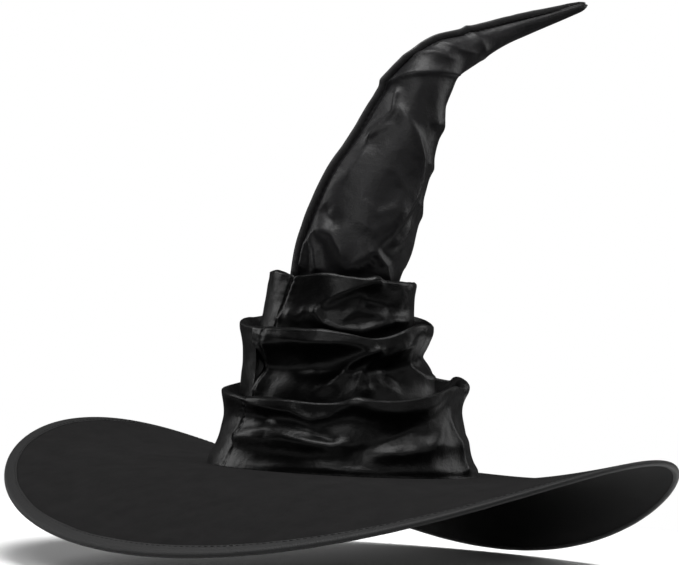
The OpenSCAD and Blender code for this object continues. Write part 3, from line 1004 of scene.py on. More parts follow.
@dataclass
class Tuck:
    """One folded tuck of the crown: a wall, a rim, and cloth turned down inside it."""

    name: str
    node: str
    foot_r: float
    rim_r: float
    rim_z: float
    dip: float
    dip_at: float
    waist: float
    foot_back: float
    rim_back: float
    throat_r: float
    throat_back: float
    below: "Tuck | None" = None
    base_z: float = 3.4 * MM
    depth: float = 14.0 * MM
    folds: list[Fold] = field(default_factory=list)
    seed: int = 1
    seam_low: float = 181.0
    seam_high: float = 186.0
    sags: tuple[tuple[float, float, float], ...] = ()

    def seam(self, share: Array) -> Array:
        """Direction of the seam at a share of the wall's height."""
        return self.seam_low + (self.seam_high - self.seam_low) * share

    def rim(self, degrees: Array) -> Array:
        """Height of the rim at a direction."""
        return self.rim_z - self.dip * np.cos(np.radians(degrees - self.dip_at))

    def foot(self, degrees: Array) -> Array:
        """Height of the foot: the brim, or the lower end of the tuck below.

        Args:
            degrees: Directions round the tuck.

        Returns:
            Heights.
        """
        if self.below is None:
            return np.full(len(degrees), self.base_z)
        return self.below.rim(degrees) - self.below.depth

    def line(self, degrees: Array) -> Array:
        """The outside line of the cloth, up the wall, over the rim and down inside.

        Args:
            degrees: Directions round the tuck.

        Returns:
            The line's points, as [point, vertex, (radius, height, shift back)].
        """
        foot, top = self.foot(degrees), self.rim(degrees)
        h = top - foot
        out_r = self.rim_r
        inner_r = self.throat_r + 1.0 * MM
        waist = min(self.foot_r, out_r) - self.waist
        low_mid = self.foot_r + (waist - self.foot_r) * 0.55
        backs = self.foot_back + (self.rim_back - self.foot_back) * np.array([0.0, 0.3, 0.7])
        rows = [
            (self.foot_r - 3.0 * MM, foot + 1.0 * MM, backs[0]),
            (self.foot_r, foot, backs[0]),
            (low_mid, foot + h * 0.3, backs[1]),
            (waist, foot + h * 0.7, backs[2]),
            (out_r - 0.3 * MM, top - 3.0 * MM, self.rim_back),
            (out_r - 0.7 * MM, top - 0.6 * MM, self.rim_back),
            (out_r - 2.4 * MM, top, self.rim_back),
            (max(out_r - 5.0 * MM, inner_r), top - 3.0 * MM, self.rim_back),
            (inner_r, top - self.depth + 5.0 * MM, (self.rim_back + 2 * self.throat_back) / 3),
            (self.throat_r, top - self.depth, self.throat_back),
        ]
        return np.stack([np.stack([np.broadcast_to(c, h.shape) for c in row], 1) for row in rows])

    def along(self, share: Array) -> Array:
        """Share along the cloth that lies at a share of the wall's height."""
        return np.interp(share, [0.0, 0.3, 0.7, 0.94], [1.0, 2.0, 3.0, 4.0]) / 9.0

    def place(self, u: Array, t: Array) -> Array:
        """Points of the cloth.

        Args:
            u: Share around, from the back.
            t: Share along the cloth.

        Returns:
            One point a row.
        """
        degrees = 180.0 + 360.0 * u
        points = self.line(degrees)
        last = len(points) - 1
        v = t * last
        p = catmull(points, v)
        e = 0.02
        slope = catmull(points, np.minimum(v + e, last)) - catmull(points, np.maximum(v - e, 0.0))
        normal = unit(np.stack([slope[:, 1], -slope[:, 0]], 1))
        foot, top = self.foot(degrees), self.rim(degrees)
        share = np.where(v < 6.0, (p[:, 1] - foot) / (top - foot), 1.0 + (top - p[:, 1]) / (top - foot))
        out = self.lift(degrees, share, (top - foot).mean())
        wave = ring_lumps(degrees, share * 0.0, count=11, seed=self.seed + 70) * 1.6 * MM
        for at, width, depth in self.sags:
            wave -= depth * np.exp(-(((np.mod(degrees - at + 180.0, 360.0) - 180.0) / width) ** 2))
        r = p[:, 0] + normal[:, 0] * out
        z = p[:, 1] + normal[:, 1] * out + wave * smooth(share, 0.5, 1.0) * (1.0 - smooth(share, 1.0, 1.15))
        a = np.radians(degrees)
        return np.stack([r * np.cos(a) - p[:, 2], r * np.sin(a), z], 1)

    def lift(self, degrees: Array, share: Array, height: float) -> Array:
        """How far folds, seam and small wrinkles stand the cloth off its plain line.

        Args:
            degrees: Direction round the tuck.
            share: Share of the wall's height, over 1 inside the rim.
            height: Height of the wall.

        Returns:
            Distances outwards.
        """
        scale = (math.pi / 180.0 * self.rim_r, height)
        out = fold_heights(self.folds, degrees, share, scale)
        held = smooth(share, 0.0, 0.12) * (1.0 - 0.75 * smooth(share, 1.05, 1.25))
        broad = ring_lumps(degrees + 30.0 * share, share * 2.2, count=14, seed=self.seed) * 1.5 * MM
        fine = ring_lumps(degrees - 40.0 * share, share * 5.0, count=40, seed=self.seed + 50) * 0.35 * MM
        off = degrees - self.seam(np.clip(share, 0.0, 1.0))
        arc = np.minimum(np.mod(off, 360.0), np.mod(-off, 360.0)) * scale[0]
        groove = -1.3 * MM * np.exp(-((arc / (1.1 * MM)) ** 2))
        pucker = np.cos(share * height / (4.5 * MM) * 2 * math.pi) * np.exp(-arc / (4.0 * MM)) * 0.35 * MM
        return (out + broad + fine) * held + (groove + pucker) * (1.0 - smooth(share, 1.0, 1.1))

    def build(self, finishes: Finishes, around: int, along: int) -> None:
        """Builds and dresses the tuck.

        Args:
            finishes: The hat's finishes.
            around: Faces around the tuck.
            along: Faces along its cloth.
        """
        bm = cloth_grid(self.place, around, along)
        relax(bm, times=2)
        heights = [v.co.z for v in bm.verts]
        axis = Vector((-self.foot_back, 0.0, (min(heights) + max(heights)) / 2))
        face_out(bm, lambda f: wall_score(f, axis))
        place_piece(finishes, finish_mesh(bm, self.name), "crown_satin", "hat", self.node)


def wall_score(face: bmesh.types.BMFace, axis: Vector) -> float:
    """How far a face of a tuck's wall looks away from the tuck's axis.

    Args:
        face: A face of the tuck's cloth.
        axis: A point on the axis, where the wall ends and what isn't scored begins.

    Returns:
        The score.
    """
    c = face.calc_center_median()
    return face.normal.x * (c.x - axis.x) + face.normal.y * (c.y - axis.y) if c.z < axis.z else 0.0


@dataclass
class Crown:
    """The three tucks and the stitches of their seam."""

    finishes: Finishes
    stitch_pitch: float = 4.5 * MM
    stitch_l: float = 3.0 * MM
    stitch_w: float = 0.6 * MM
    proud: float = 0.25 * MM
    stitched: tuple[float, float] = (0.08, 0.92)

    def tucks(self) -> list[Tuck]:
        """The three tucks, from the brim up.

        Returns:
            The lower, the middle and the upper tuck.
        """
        lower = Tuck(
            "lower_tuck", "lower_tier", foot_r=101.5 * MM, rim_r=90 * MM, rim_z=64 * MM,
            dip=11 * MM, dip_at=204, waist=1.5 * MM, foot_back=1 * MM, rim_back=4.5 * MM,
            throat_r=77.8 * MM, throat_back=8 * MM,
            folds=LOWER_FOLDS, seed=11, seam_low=178.0, seam_high=186.0,
            sags=((232, 14, 2.0 * MM), (304, 10, -3.0 * MM)))
        middle = Tuck(
            "middle_tuck", "middle_tier", foot_r=76.8 * MM, rim_r=72 * MM, rim_z=112 * MM,
            dip=8 * MM, dip_at=225, waist=1.5 * MM, foot_back=8 * MM, rim_back=12 * MM,
            throat_r=60.8 * MM, throat_back=14.5 * MM,
            below=lower, folds=MIDDLE_FOLDS, seed=12, seam_low=179.0, seam_high=191.0,
            sags=((262, 16, 5.5 * MM), (296, 13, -4.0 * MM), (190, 14, 2.0 * MM)))
        upper = Tuck(
            "upper_tuck", "upper_tier", foot_r=59.8 * MM, rim_r=55 * MM, rim_z=145 * MM,
            dip=1.5 * MM, dip_at=298, waist=0.0, foot_back=14.5 * MM, rim_back=10 * MM,
            throat_r=50.5 * MM, throat_back=10 * MM,
            below=middle, folds=UPPER_FOLDS, seed=13, seam_low=184.0, seam_high=197.0)
        return [lower, middle, upper]

    def seam_stitches(self, tuck: Tuck) -> None:
        """Stitches up the seam on the part of a tuck that shows.

        Args:
            tuck: The tuck.
        """
        back = np.array([180.0])
        wall = tuck.rim(back)[0] - tuck.foot(back)[0]
        low, high = self.stitched
        if tuck.below is not None:
            low = (tuck.below.depth + 3 * MM) / wall
        shares = low + np.arange(int((high - low) * wall / self.stitch_pitch)) * self.stitch_pitch / wall
        out = np.array([-self.proud, 0.0, 0.0])
        starts, ends = (
            tuck.place((tuck.seam(share) - 180.0) / 360.0, tuck.along(share)) + out
            for share in (shares, shares + self.stitch_l / wall))
        piece = stitches(f"{tuck.name}_seam_stitches", starts, ends, self.stitch_w)
        place_piece(self.finishes, piece, "thread", "hat", "crown_seam_stitching")

    def build(self) -> None:
        """Builds and dresses the crown."""
        for tuck in self.tucks():
            tuck.build(self.finishes, around=480, along=140)
            self.seam_stitches(tuck)


LOWER_FOLDS = [
    Fold([(181, 0.46), (202, 0.57), (213, 0.47), (224, 0.38), (231, 0.36), (243, 0.42)], 4.2, 6.6, 8.5),
    Fold([(182, 0.97), (196, 0.93), (213, 0.88), (223, 0.76), (231, 0.82), (243, 1.02)], 3.4, 5.7, 5.7),
    Fold([(243, 1.02), (252, 0.91), (265, 0.85), (279, 0.85), (297, 0.90)], 3.6, 5.7, 6.6, Edge.OPEN_START),
    Fold([(243, 0.27), (263, 0.27), (277, 0.31), (287, 0.52), (298, 0.74)], 4.2, 5.7, 8.5),
    Fold([(298, 0.78), (301, 0.38), (302, 0.05)], 3.1, 4.8, 5.7, Edge.OPEN_END),
    Fold([(181, 0.05), (211, 0.05), (245, 0.05), (281, 0.05), (315, 0.05), (350, 0.05)], 2.1, 2.8, 2.8),
    Fold([(199, 0.72)], -3.9, 6.6, 6.6),
    Fold([(226, 0.54), (232, 0.48)], -3.4, 4.8, 4.8, Edge.OPEN),
    Fold([(247, 0.36), (256, 0.42), (272, 0.62)], -4.2, 8.5, 7.6, Edge.OPEN),
    Fold([(318, 0.9), (332, 1.02), (352, 0.95)], 4.4, 8.5, 8.5),
    Fold([(320, 0.55), (345, 0.35), (15, 0.5)], 3.6, 8.5, 8.5),
]

MIDDLE_FOLDS = [
    Fold([(184, 0.95), (200, 0.93), (213, 0.90), (233, 0.89), (255, 0.92), (262, 0.86)], 3.6, 4.2, 7.6),
    Fold([(262, 0.86), (246, 0.65), (234, 0.44), (222, 0.30)], 5.5, 6.0, 4.2, Edge.OPEN_START),
    Fold([(295, 0.74), (285, 0.80), (277, 0.80), (263, 0.73), (253, 0.55), (246, 0.32)], 5.2, 5.1, 4.2),
    Fold([(294, 0.74), (292, 0.56), (302, 0.42), (325, 0.32)], 4.2, 4.2, 6.0),
    Fold([(222, 0.66), (238, 0.74)], -4.4, 9.3, 8.5, Edge.OPEN),
    Fold([(272, 0.52), (280, 0.40)], -4.7, 8.5, 7.6, Edge.OPEN),
    Fold([(194, 0.85), (186, 0.60), (184, 0.32)], 3.1, 5.1, 6.0, Edge.OPEN),
    Fold([(255, 0.36)], 2.9, 4.2, 4.2),
    Fold([(308, 0.62), (325, 0.56), (345, 0.58), (10, 0.55)], -7.8, 9.3, 10.2, Edge.OPEN),
    Fold([(350, 0.9), (20, 0.8), (60, 0.9), (100, 0.75), (140, 0.85), (170, 0.7)], 3.4, 6.8, 8.5),
    Fold([(20, 0.4), (50, 0.55), (80, 0.3), (120, 0.5), (160, 0.4)], 4.2, 6.0, 7.6),
]

UPPER_FOLDS = [
    Fold([(222, 0.50), (224, 0.62), (237, 0.77), (251, 0.91), (267, 1.02)], 4.2, 5.4, 3.6, Edge.OPEN_END),
    Fold([(222, 0.50), (228, 0.38), (240, 0.30), (255, 0.28), (268, 0.34), (284, 0.42), (312, 0.40)],
         4.4, 3.6, 4.5, Edge.OPEN_START),
    Fold([(226, 0.50), (242, 0.44), (252, 0.57), (261, 0.55), (282, 0.46)], 2.3, 2.7, 2.7),
    Fold([(262, 0.72), (280, 0.66)], -3.4, 7.2, 7.2, Edge.OPEN),
    Fold([(190, 0.40)], 2.6, 3.6, 3.6),
    Fold([(200, 0.47), (208, 0.43)], 2.3, 3.6, 3.6, Edge.OPEN),
    Fold([(212, 0.50), (220, 0.52)], 2.0, 2.7, 2.7, Edge.OPEN),
]


# ---- cone --------------------------------------------------------------------


@dataclass
class Cone:
    """The tall cone, its crook and its tip in one cloth, with the wired seam channel."""

    finishes: Finishes
    mouth: tuple[float, float] = (-10 * MM, 145 * MM)
    closed: float = 10.0
    around: int = 260
    along: int = 320
    channel_w: float = 6.5 * MM
    channel_t: float = 3.4 * MM
    crook: tuple[float, float] = (5.0, 7.0)
    wire: tuple[float, float] = (0.6, 9.65)
    step_l: float = 34 * MM
    fold_r: float = 33 * MM
    spine: list[tuple[float, float, float]] = field(default_factory=lambda: [
        (0, -14, 40.5), (5, 20, 41), (17, 53, 39.5), (32.5, 86, 35), (47, 118, 29.5), (60, 147, 23.5),
        (79, 168.5, 17.3), (102, 180.3, 13), (133, 195, 8.6), (165, 207.3, 6.0), (215, 227.3, 3.0)])

    def axis(self, u: Array) -> tuple[Array, Array, Array, Array]:
        """The cone's middle line.

        Args:
            u: Place on the line, from 0 at the mouth to 10 at the tip.

        Returns:
            The point, the direction along, the direction to the channel, and the radius.
        """
        last = float(len(self.spine) - 1)
        line = np.array(self.spine) * MM
        p = catmull(line, u)
        e = 0.01
        step = catmull(line, np.minimum(u + e, last)) - catmull(line, np.maximum(u - e, 0.0))
        upright = np.clip(1.0 - u, 0.0, 1.0)[:, None]
        t = unit(unit(step[:, :2]) * (1.0 - upright) + np.array([0.0, 1.0]) * upright)
        zero = np.zeros(len(u))
        middle = np.stack([p[:, 0] + self.mouth[0], zero, p[:, 1] + self.mouth[1]], 1)
        along = np.stack([t[:, 0], zero, t[:, 1]], 1)
        outer = np.stack([-t[:, 1], zero, t[:, 0]], 1)
        return middle, along, outer, p[:, 2]

    def lift(self, degrees: Array, u: Array, sewn: float = 1.0) -> Array:
        """How far folds, and the sewn seam with its puckers, stand the cloth off its plain surface.

        Args:
            degrees: Direction round the cone, from the channel.
            u: Place along the cone.
            sewn: Share of the seam's groove and puckers that counts.

        Returns:
            Distances outwards.
        """
        radius = self.axis(u)[3]
        out = fold_heights(CONE_FOLDS, degrees, u, (math.pi / 180.0 * self.fold_r, self.step_l))
        out += ring_lumps(degrees + 8 * u, u * 0.9, count=6, seed=21) * 1.6 * MM
        out += ring_lumps(degrees - 14 * u, u * 2.0, count=14, seed=22) * 0.5 * MM
        arc = np.abs(np.mod(degrees + 180.0, 360.0) - 180.0) * math.pi / 180.0 * radius
        groove = -1.0 * MM * np.exp(-(((arc - 2.2 * MM) / (1.2 * MM)) ** 2))
        pucker = np.cos(u * 34.0 / 5.0 * 2 * math.pi) * np.exp(-arc / (5.0 * MM)) * 0.3 * MM
        thin = np.clip(radius / (20 * MM), 0.12, 1.0)
        seam = (groove + pucker) * sewn * np.clip(radius / (12 * MM), 0.2, 1.0)
        return out * thin * smooth(u, 0.0, 0.5) + seam

    def place(self, share_round: Array, t: Array) -> Array:
        """Points of the cone's cloth.

        Args:
            share_round: Share around, from the channel.
            t: Share along.

        Returns:
            One point a row.
        """
        degrees = 360.0 * share_round
        u = self.closed * (0.6 * t + 0.4 * t * t)
        middle, _, outer, radius = self.axis(u)
        r = radius + self.lift(np.mod(degrees + 180.0, 360.0) - 180.0, u) - np.where(t < 1e-6, 2.0 * MM, 0.0)
        r = r * np.sqrt(np.clip((self.closed + 0.001 - u) / 0.12, 0.0, 1.0))
        a = np.radians(degrees)[:, None]
        across = np.array([0.0, 1.0, 0.0])
        return middle + r[:, None] * (np.cos(a) * outer + np.sin(a) * across)

    def cloth_piece(self) -> bpy.types.Object:
        """The cloth of cone, crook and tip, closed at the tip's end.

        Returns:
            The piece.
        """
        bm = cloth_grid(self.place, self.around, self.along)
        relax(bm, times=2)
        bmesh.ops.remove_doubles(bm, verts=bm.verts, dist=PINCHED)
        face_out(bm, away_from(Vector((self.mouth[0], 0.0, self.mouth[1]))))
        return finish_mesh(bm, "cone_satin_painted_light")

    def channel_line(self, u: Array) -> tuple[Array, Array, Array]:
        """The channel's middle line.

        Args:
            u: Place along the cone.

        Returns:
            The middle's points, the directions along it, and the directions outwards, whose length is the
            section's share of its full size.
        """
        middle, along, outer, radius = self.axis(u)
        taper = np.clip(radius / (6 * MM), 0.7, 1.0)
        base = radius + self.lift(np.zeros(len(u)), u, 0.0) * smooth(u, 0.9, 1.5) - 1.0 * MM * taper
        near = 1.0 - 0.12 * smooth(u, 8.6, 9.6) - 0.4 * smooth(u, 9.6, 10.0)
        off = (base + self.channel_w * 0.42 * taper) * near
        return middle + outer * off[:, None], along, outer * taper[:, None]

    def on_channel(
        self, u: Array, turn: Array, proud: Array | float = 0.0, ends: Array | float = 1.0,
    ) -> Array:
        """Points on the channel's skin.

        Args:
            u: Place along the cone.
            turn: Direction round the channel's section in radians, from straight outwards.
            proud: How far outside the skin.
            ends: Scale of the section, which closes it at its ends.

        Returns:
            One point a row.
        """
        middle, _, outer = self.channel_line(u)
        taper = np.linalg.norm(outer, axis=1)
        x = np.cos(turn) * (self.channel_w / 2 * taper + proud)
        y = np.sin(turn) * (self.channel_t / 2 * taper * (0.85 + 0.15 * np.cos(turn)) + proud)
        wander = lumps(u * 1.3, u * 0.0, 35) * 0.9 * MM
        across = np.array([0.0, 1.0, 0.0])
        return middle + unit(outer) * (x * ends)[:, None] + across * (y * ends + wander)[:, None]

    def tube(self, name: str, place: Place, around: int, along: int) -> bpy.types.Object:
        """A tube that lies along the channel and closes at both ends.

        Args:
            name: The piece's name.
            place: Gives each vertex's point from its share around and its share along.
            around: Faces around the tube.
            along: Faces along it.

        Returns:
            The piece.
        """
        bm = cloth_grid(place, around, along)
        bmesh.ops.remove_doubles(bm, verts=bm.verts, dist=PINCHED)
        bmesh.ops.recalc_face_normals(bm, faces=bm.faces)
        return finish_mesh(bm, name)

    def channel_piece(self) -> bpy.types.Object:
        """The folded cloth that stands up from the seam and holds the wire.

        Returns:
            The piece.
        """
        low, high = 0.3, 9.99

        def place(share_round: Array, t: Array) -> Array:
            """Points of the channel.

            Args:
                share_round: Share round its section.
                t: Share along it.

            Returns:
                One point a row.
            """
            u = low + (high - low) * t
            pucker = ring_lumps(share_round * 360.0, u * 5.0, count=4, seed=33) * 0.12 * MM
            ends = np.sqrt(np.clip(np.minimum(t, 1 - t) / 0.012, 0.0, 1.0))
            return self.on_channel(u, share_round * 2 * math.pi, pucker, ends)

        return self.tube("seam_channel", place, around=20, along=420)

    def channel_stitches(self) -> bpy.types.Object:
        """Stitches on both faces of the channel, close to the cone.

        Returns:
            The piece.
        """
        step, length = 4.6 * MM / self.step_l, 3.2 * MM / self.step_l
        proud = 0.12 * MM
        u = np.arange(0.5, 9.6, step)
        starts, ends = [], []
        for face in (-1.9, 1.9):
            turn = np.full(len(u), face)
            starts.append(self.on_channel(u, turn, proud))
            ends.append(self.on_channel(u + length, turn, proud))
        return stitches("seam_channel_stitches", np.vstack(starts), np.vstack(ends), 0.6 * MM)

    def wire_piece(self) -> bpy.types.Object:
        """The wire inside the channel.

        Returns:
            The piece.
        """
        low, high = self.wire
        thin = 0.28

        def place(share_round: Array, t: Array) -> Array:
            """Point on the wire's skin at a share round it and a share along it."""
            ends = np.where((t < SAME_POINT) | (t > 1 - SAME_POINT), 0.0, thin)
            return self.on_channel(low + (high - low) * t, share_round * 2 * math.pi, 0.0, ends)

        return self.tube("seam_wire", place, around=10, along=200)

    def cap_piece(self, name: str, u: float, towards: float) -> bpy.types.Object:
        """A smooth cap on one end of the wire.

        Args:
            name: The piece's name.
            u: Place of the wire's end along the cone.
            towards: -1 for the low end, 1 for the high end.

        Returns:
            The piece.
        """
        middle, along, _ = self.channel_line(np.array([u]))
        at = Vector(middle[0]) + Vector(along[0]) * towards * 1.2 * MM
        turn = Vector(along[0]).to_track_quat("Z", "Y").to_matrix().to_4x4()
        size = Matrix.Diagonal((0.85 * MM, 0.85 * MM, 1.5 * MM, 1.0))
        put = Matrix.Translation(at) @ turn @ size
        bm = bmesh.new()
        bmesh.ops.create_uvsphere(bm, u_segments=16, v_segments=10, radius=1.0, matrix=put)
        return finish_mesh(bm, name)

    def build(self) -> None:
        """Builds and dresses the cone."""
        ends = [Vector(self.axis(np.array([u]))[0][0]) for u in self.crook]
        all_three = ("cone", "crook", "tip")
        for piece, slot, finish, end_word, parts in (
            # The cone's cloth wears a lighter copy of the crown's satin: painted light.
            (self.cloth_piece(), "crown_satin", "cone_satin_painted_light", "cloth", all_three),
            # The channel wears a still lighter copy of the crown's satin: painted light.
            (self.channel_piece(), "crown_satin", "seam_satin_painted_light", "channel", all_three),
            (self.channel_stitches(), "thread", "thread", "stitching", ("cone", "tip")),
            (self.wire_piece(), "spring_wire", "spring_wire", "wire", all_three),
        ):
            place_piece(
                self.finishes, piece, slot, ("cone", "tip"), *(f"{part}_{end_word}" for part in parts),
                start=ends[0], end=ends[1], finish=finish)
        low, high = self.wire
        for name, u, towards, body, node in (
            ("wire_cap_low", low, -1.0, "cone", "wire_cap_bottom"),
            ("wire_cap_high", high, 1.0, "tip", "wire_cap_top"),
        ):
            place_piece(self.finishes, self.cap_piece(name, u, towards), "cap_plastic", body, node)


CONE_FOLDS = [
    Fold([(-60, 0.57), (-80, 0.96), (-94, 1.45), (-104, 2.0), (-111, 2.5), (-112, 2.85), (-104, 3.25),
          (-82, 3.65), (-60, 3.9), (-42, 4.15), (-30, 4.42)], 3.9, 4, 9, Edge.OPEN_START),
    Fold([(-24, 2.85), (-28, 3.41), (-38, 3.95), (-30, 4.42)], 2.6, 3, 5, Edge.OPEN_END),
    Fold([(-18, 3.1), (-34, 3.41), (-48, 3.72)], 2.0, 4, 6),
    Fold([(-26, 2.0), (-30, 2.63), (-32, 3.12)], 1.7, 5, 5),
    Fold([(-50, 2.63), (-76, 2.7), (-94, 2.46), (-92, 2.03), (-74, 1.71), (-54, 1.86), (-44, 2.27)],
         1.5, 4, 5),
    Fold([(-48, 1.5), (-76, 1.35), (-92, 1.75), (-100, 2.3)], 1.2, 4, 5),
    Fold([(-2, 4.65), (-28, 4.87), (-56, 5.11), (-88, 5.5), (-132, 6.06)], 2.6, 3, 6, Edge.OPEN),
    Fold([(8, 5.15), (-14, 5.5), (-44, 5.75), (-74, 5.9), (-96, 6.2)], 2.0, 4, 4),
    Fold([(-28, 6.1), (-48, 6.25), (-72, 6.45), (-100, 6.9)], 1.4, 4, 5, Edge.OPEN),
    Fold([(-96, 4.1), (-130, 4.3), (-150, 4.1)], 2.6, 6, 7),
    Fold([(-112, 3.35), (-140, 3.3), (-170, 3.5)], 2.2, 5, 6),
    Fold([(-118, 2.4), (-140, 2.5), (-165, 2.3)], 2.0, 5, 6),
    Fold([(-150, 7.0), (-178, 7.3), (160, 7.1)], 2.2, 4, 4),
    Fold([(-8, 0.55), (-9, 0.84), (-14, 0.95), (-22, 0.8), (-28, 0.5)], 4.2, 3.5, 3.5, Edge.OPEN),
    Fold([(-10, 0.95), (-20, 1.1), (-36, 1.05), (-48, 0.86), (-58, 0.55)], 4.6, 3.5, 6),
    Fold([(-12, 1.56), (-24, 1.39), (-40, 1.20)], -2.4, 4, 4),
    Fold([(-86, 0.92), (-100, 0.72), (-108, 0.4)], 3.8, 3, 3.5, Edge.OPEN),
    Fold([(-66, 0.45), (-78, 0.75), (-90, 0.6)], 2.6, 3, 3),
    Fold([(-96, 1.0), (-114, 1.5), (-122, 2.1)], 2.4, 4, 4),
    Fold([(-170, 0.6), (-150, 1.6), (-168, 2.8), (-150, 3.6)], 3.0, 6, 8),
    Fold([(170, 3.9), (140, 3.0), (120, 1.9), (140, 0.9)], 3.2, 7, 9),
    Fold([(40, 0.8), (70, 1.5), (95, 2.6), (70, 3.8), (40, 4.4)], 3.0, 8, 6),
    Fold([(30, 2.2), (60, 2.6), (85, 3.6)], 1.8, 5, 6),
    Fold([(20, 4.8), (60, 5.1), (110, 5.5), (150, 5.9)], 2.2, 4, 5),
]


# ---- inside ------------------------------------------------------------------


@dataclass
class Inside:
    """What shows from below and inside: lining, sweatband, label and the cloth round the cone's mouth."""

    finishes: Finishes
    tucks: list[Tuck]
    head_r: float = 89.0 * MM
    band_h: float = 24.0 * MM
    top_z: float = 119.0 * MM
    top_back: float = 12.0 * MM
    room: float = 4.5 * MM
    mouth_r: float = 40.5 * MM
    mouth_z: float = 130.2 * MM
    stitch_r: float = 92.4 * MM
    stitch_l: float = 4.0 * MM
    stitch_count: int = 92
    gathers: float = 36.0

    def lining_at(self, degrees: Array, t: Array) -> Array:
        """Points of the lining, from the sweatband up to the middle of its gathered top.

        Args:
            degrees: Direction round the lining.
            t: Share along it.

        Returns:
            One point a row.
        """
        lower, middle, upper = self.tucks
        ones = np.ones(len(degrees))
        rows = [(self.head_r + 0.2 * MM, self.band_h + 0.2 * MM, 0.0)]
        for tuck, below in ((middle, lower), (upper, middle)):
            level = below.rim(degrees) - below.depth - 2.6 * MM
            rows.append((tuck.foot_r - self.room, level, tuck.foot_back))
        rows += [
            (33.0 * MM, self.top_z - 1.5 * MM, self.top_back), (24.0 * MM, self.top_z, self.top_back),
            (1.0 * MM, self.top_z - 1.0 * MM, self.top_back)]
        points = np.stack([np.stack([row[0] * ones, row[1] * ones, row[2] * ones], 1) for row in rows])
        p = catmull(points, t * (len(rows) - 1))
        gather = smooth(t, 0.3, 0.7) * (1.0 - smooth(t, 0.8, 1.0) * 0.8)
        r = p[:, 0] + np.cos(np.radians(degrees * self.gathers)) * 0.7 * MM * gather
        slack = smooth(t, 0.02, 0.2) * (1 - smooth(t, 0.9, 1.0))
        r = r - (ring_lumps(degrees, t * 5.0, count=18, seed=41) + 0.6) * 1.2 * MM * slack
        top = smooth(t, 0.6, 0.8) * (1 - smooth(t, 0.85, 1.0))
        z = p[:, 1] + np.cos(np.radians(degrees * self.gathers + 60.0)) * 0.9 * MM * top
        a = np.radians(degrees)
        return np.stack([r * np.cos(a) - p[:, 2], r * np.sin(a), z], 1)

    def lining(self) -> bpy.types.Object:
        """The lining with its gathered top.

        Returns:
            The piece.
        """
        bm = cloth_grid(lambda u, t: self.lining_at(360.0 * u, t), around=432, along=70)
        hole = [e for e in bm.edges if e.is_boundary and e.verts[0].co.z > self.top_z - 4 * MM]
        bmesh.ops.contextual_create(bm, geom=hole)
        face_out(bm, away_from(Vector((0.0, 0.0, 0.04))))
        piece = finish_mesh(bm, "crown_lining_cloth")
        thicken(piece, 0.5 * MM)
        return piece

    def sweatband(self) -> bpy.types.Object:
        """The ribbed band round the head opening, with its upper and lower edges turned.

        Returns:
            The piece.
        """
        r, h = self.head_r, self.band_h
        section = np.array([
            (r + 0.75 * MM, 0.6 * MM), (r + 0.45 * MM, 0.0), (r + 0.05 * MM, 0.5 * MM),
            (r + 0.2 * MM, 2.2 * MM), (r + 0.25 * MM, 12 * MM), (r + 0.2 * MM, h - 2.2 * MM),
            (r + 0.05 * MM, h - 0.5 * MM), (r + 0.45 * MM, h), (r + 0.75 * MM, h - 0.6 * MM),
            (r + 0.78 * MM, 12 * MM), (r + 0.75 * MM, 0.6 * MM)])

        def place(u: Array, t: Array) -> Array:
            """Points of the band.

            Args:
                u: Share around.
                t: Share round its section.

            Returns:
                One point a row.
            """
            p = catmull(section, t * (len(section) - 1))
            a = 2 * math.pi * u
            return np.stack([p[:, 0] * np.cos(a), p[:, 0] * np.sin(a), p[:, 1]], 1)

        bm = cloth_grid(place, around=300, along=40)
        bmesh.ops.recalc_face_normals(bm, faces=bm.faces)
        return finish_mesh(bm, "ribbed_sweatband")

    def band_stitches(self) -> bpy.types.Object:
        """Stitches that hold the sweatband's lower edge to the brim.

        Returns:
            The piece.
        """
        a = np.arange(self.stitch_count) * 2 * math.pi / self.stitch_count
        r = self.stitch_r
        low = np.full(self.stitch_count, -0.32 * MM)
        starts, ends = (
            np.stack([r * np.cos(b), r * np.sin(b), low], 1) for b in (a, a + self.stitch_l / r))
        return stitches("sweatband_stitches", starts, ends, width=0.6 * MM)

    def label(self) -> bpy.types.Object:
        """A blank folded label, sewn by its upper edge to the lining at the back.

        Returns:
            The piece.
        """

        def place(u: Array, t: Array) -> Array:
            """Points of the folded label.

            Args:
                u: Share across.
                t: Share along it, down the front and up the back.

            Returns:
                One point a row.
            """
            degrees = 180.0 + (u - 0.5) * 24.0
            down = np.where(t < 0.5, t * 2.0, 2.0 - t * 2.0)
            skin = self.lining_at(degrees, 0.40 - 0.16 * down)
            centre = np.array([-8.0 * MM, 0.0, 0.0])
            inward = unit((centre - skin) * np.array([1.0, 1.0, 0.0]))
            apart = np.where(t < 0.5, 0.5 * MM, 0.0) * (1.0 - np.abs(2 * t - 1.0) * 0.2)
            bow = 0.6 * MM + 2.2 * MM * down**2 + apart
            return skin + inward * (bow + 1.6 * MM)[:, None]

        bm = cloth_grid(place, around=24, along=32, joined=False)
        bmesh.ops.recalc_face_normals(bm, faces=bm.faces)
        piece = finish_mesh(bm, "blank_label")
        thicken(piece, 0.25 * MM)
        return piece

    def neck(self) -> bpy.types.Object:
        """Gathered cloth that fills the gap between the upper tuck and the cone's mouth.

        Returns:
            The piece.
        """
        upper = self.tucks[2]
        back = upper.throat_back

        def place(u: Array, t: Array) -> Array:
            """Points of the gathered cloth.

            Args:
                u: Share around.
                t: Share in towards the cone.

            Returns:
                One point a row.
            """
            degrees = 360.0 * u
            a = np.radians(degrees)
            r = upper.throat_r - 0.6 * MM + (self.mouth_r - 1.2 * MM - upper.throat_r) * t
            outer = upper.rim(degrees) - upper.depth - 1.0 * MM
            z = outer + (self.mouth_z - outer) * t - 2.2 * MM * np.sin(math.pi * t)
            pleat = np.cos(a * 40.0) * 0.6 * MM * np.sin(math.pi * t)
            return np.stack([r * np.cos(a) - back, r * np.sin(a), z + pleat], 1)

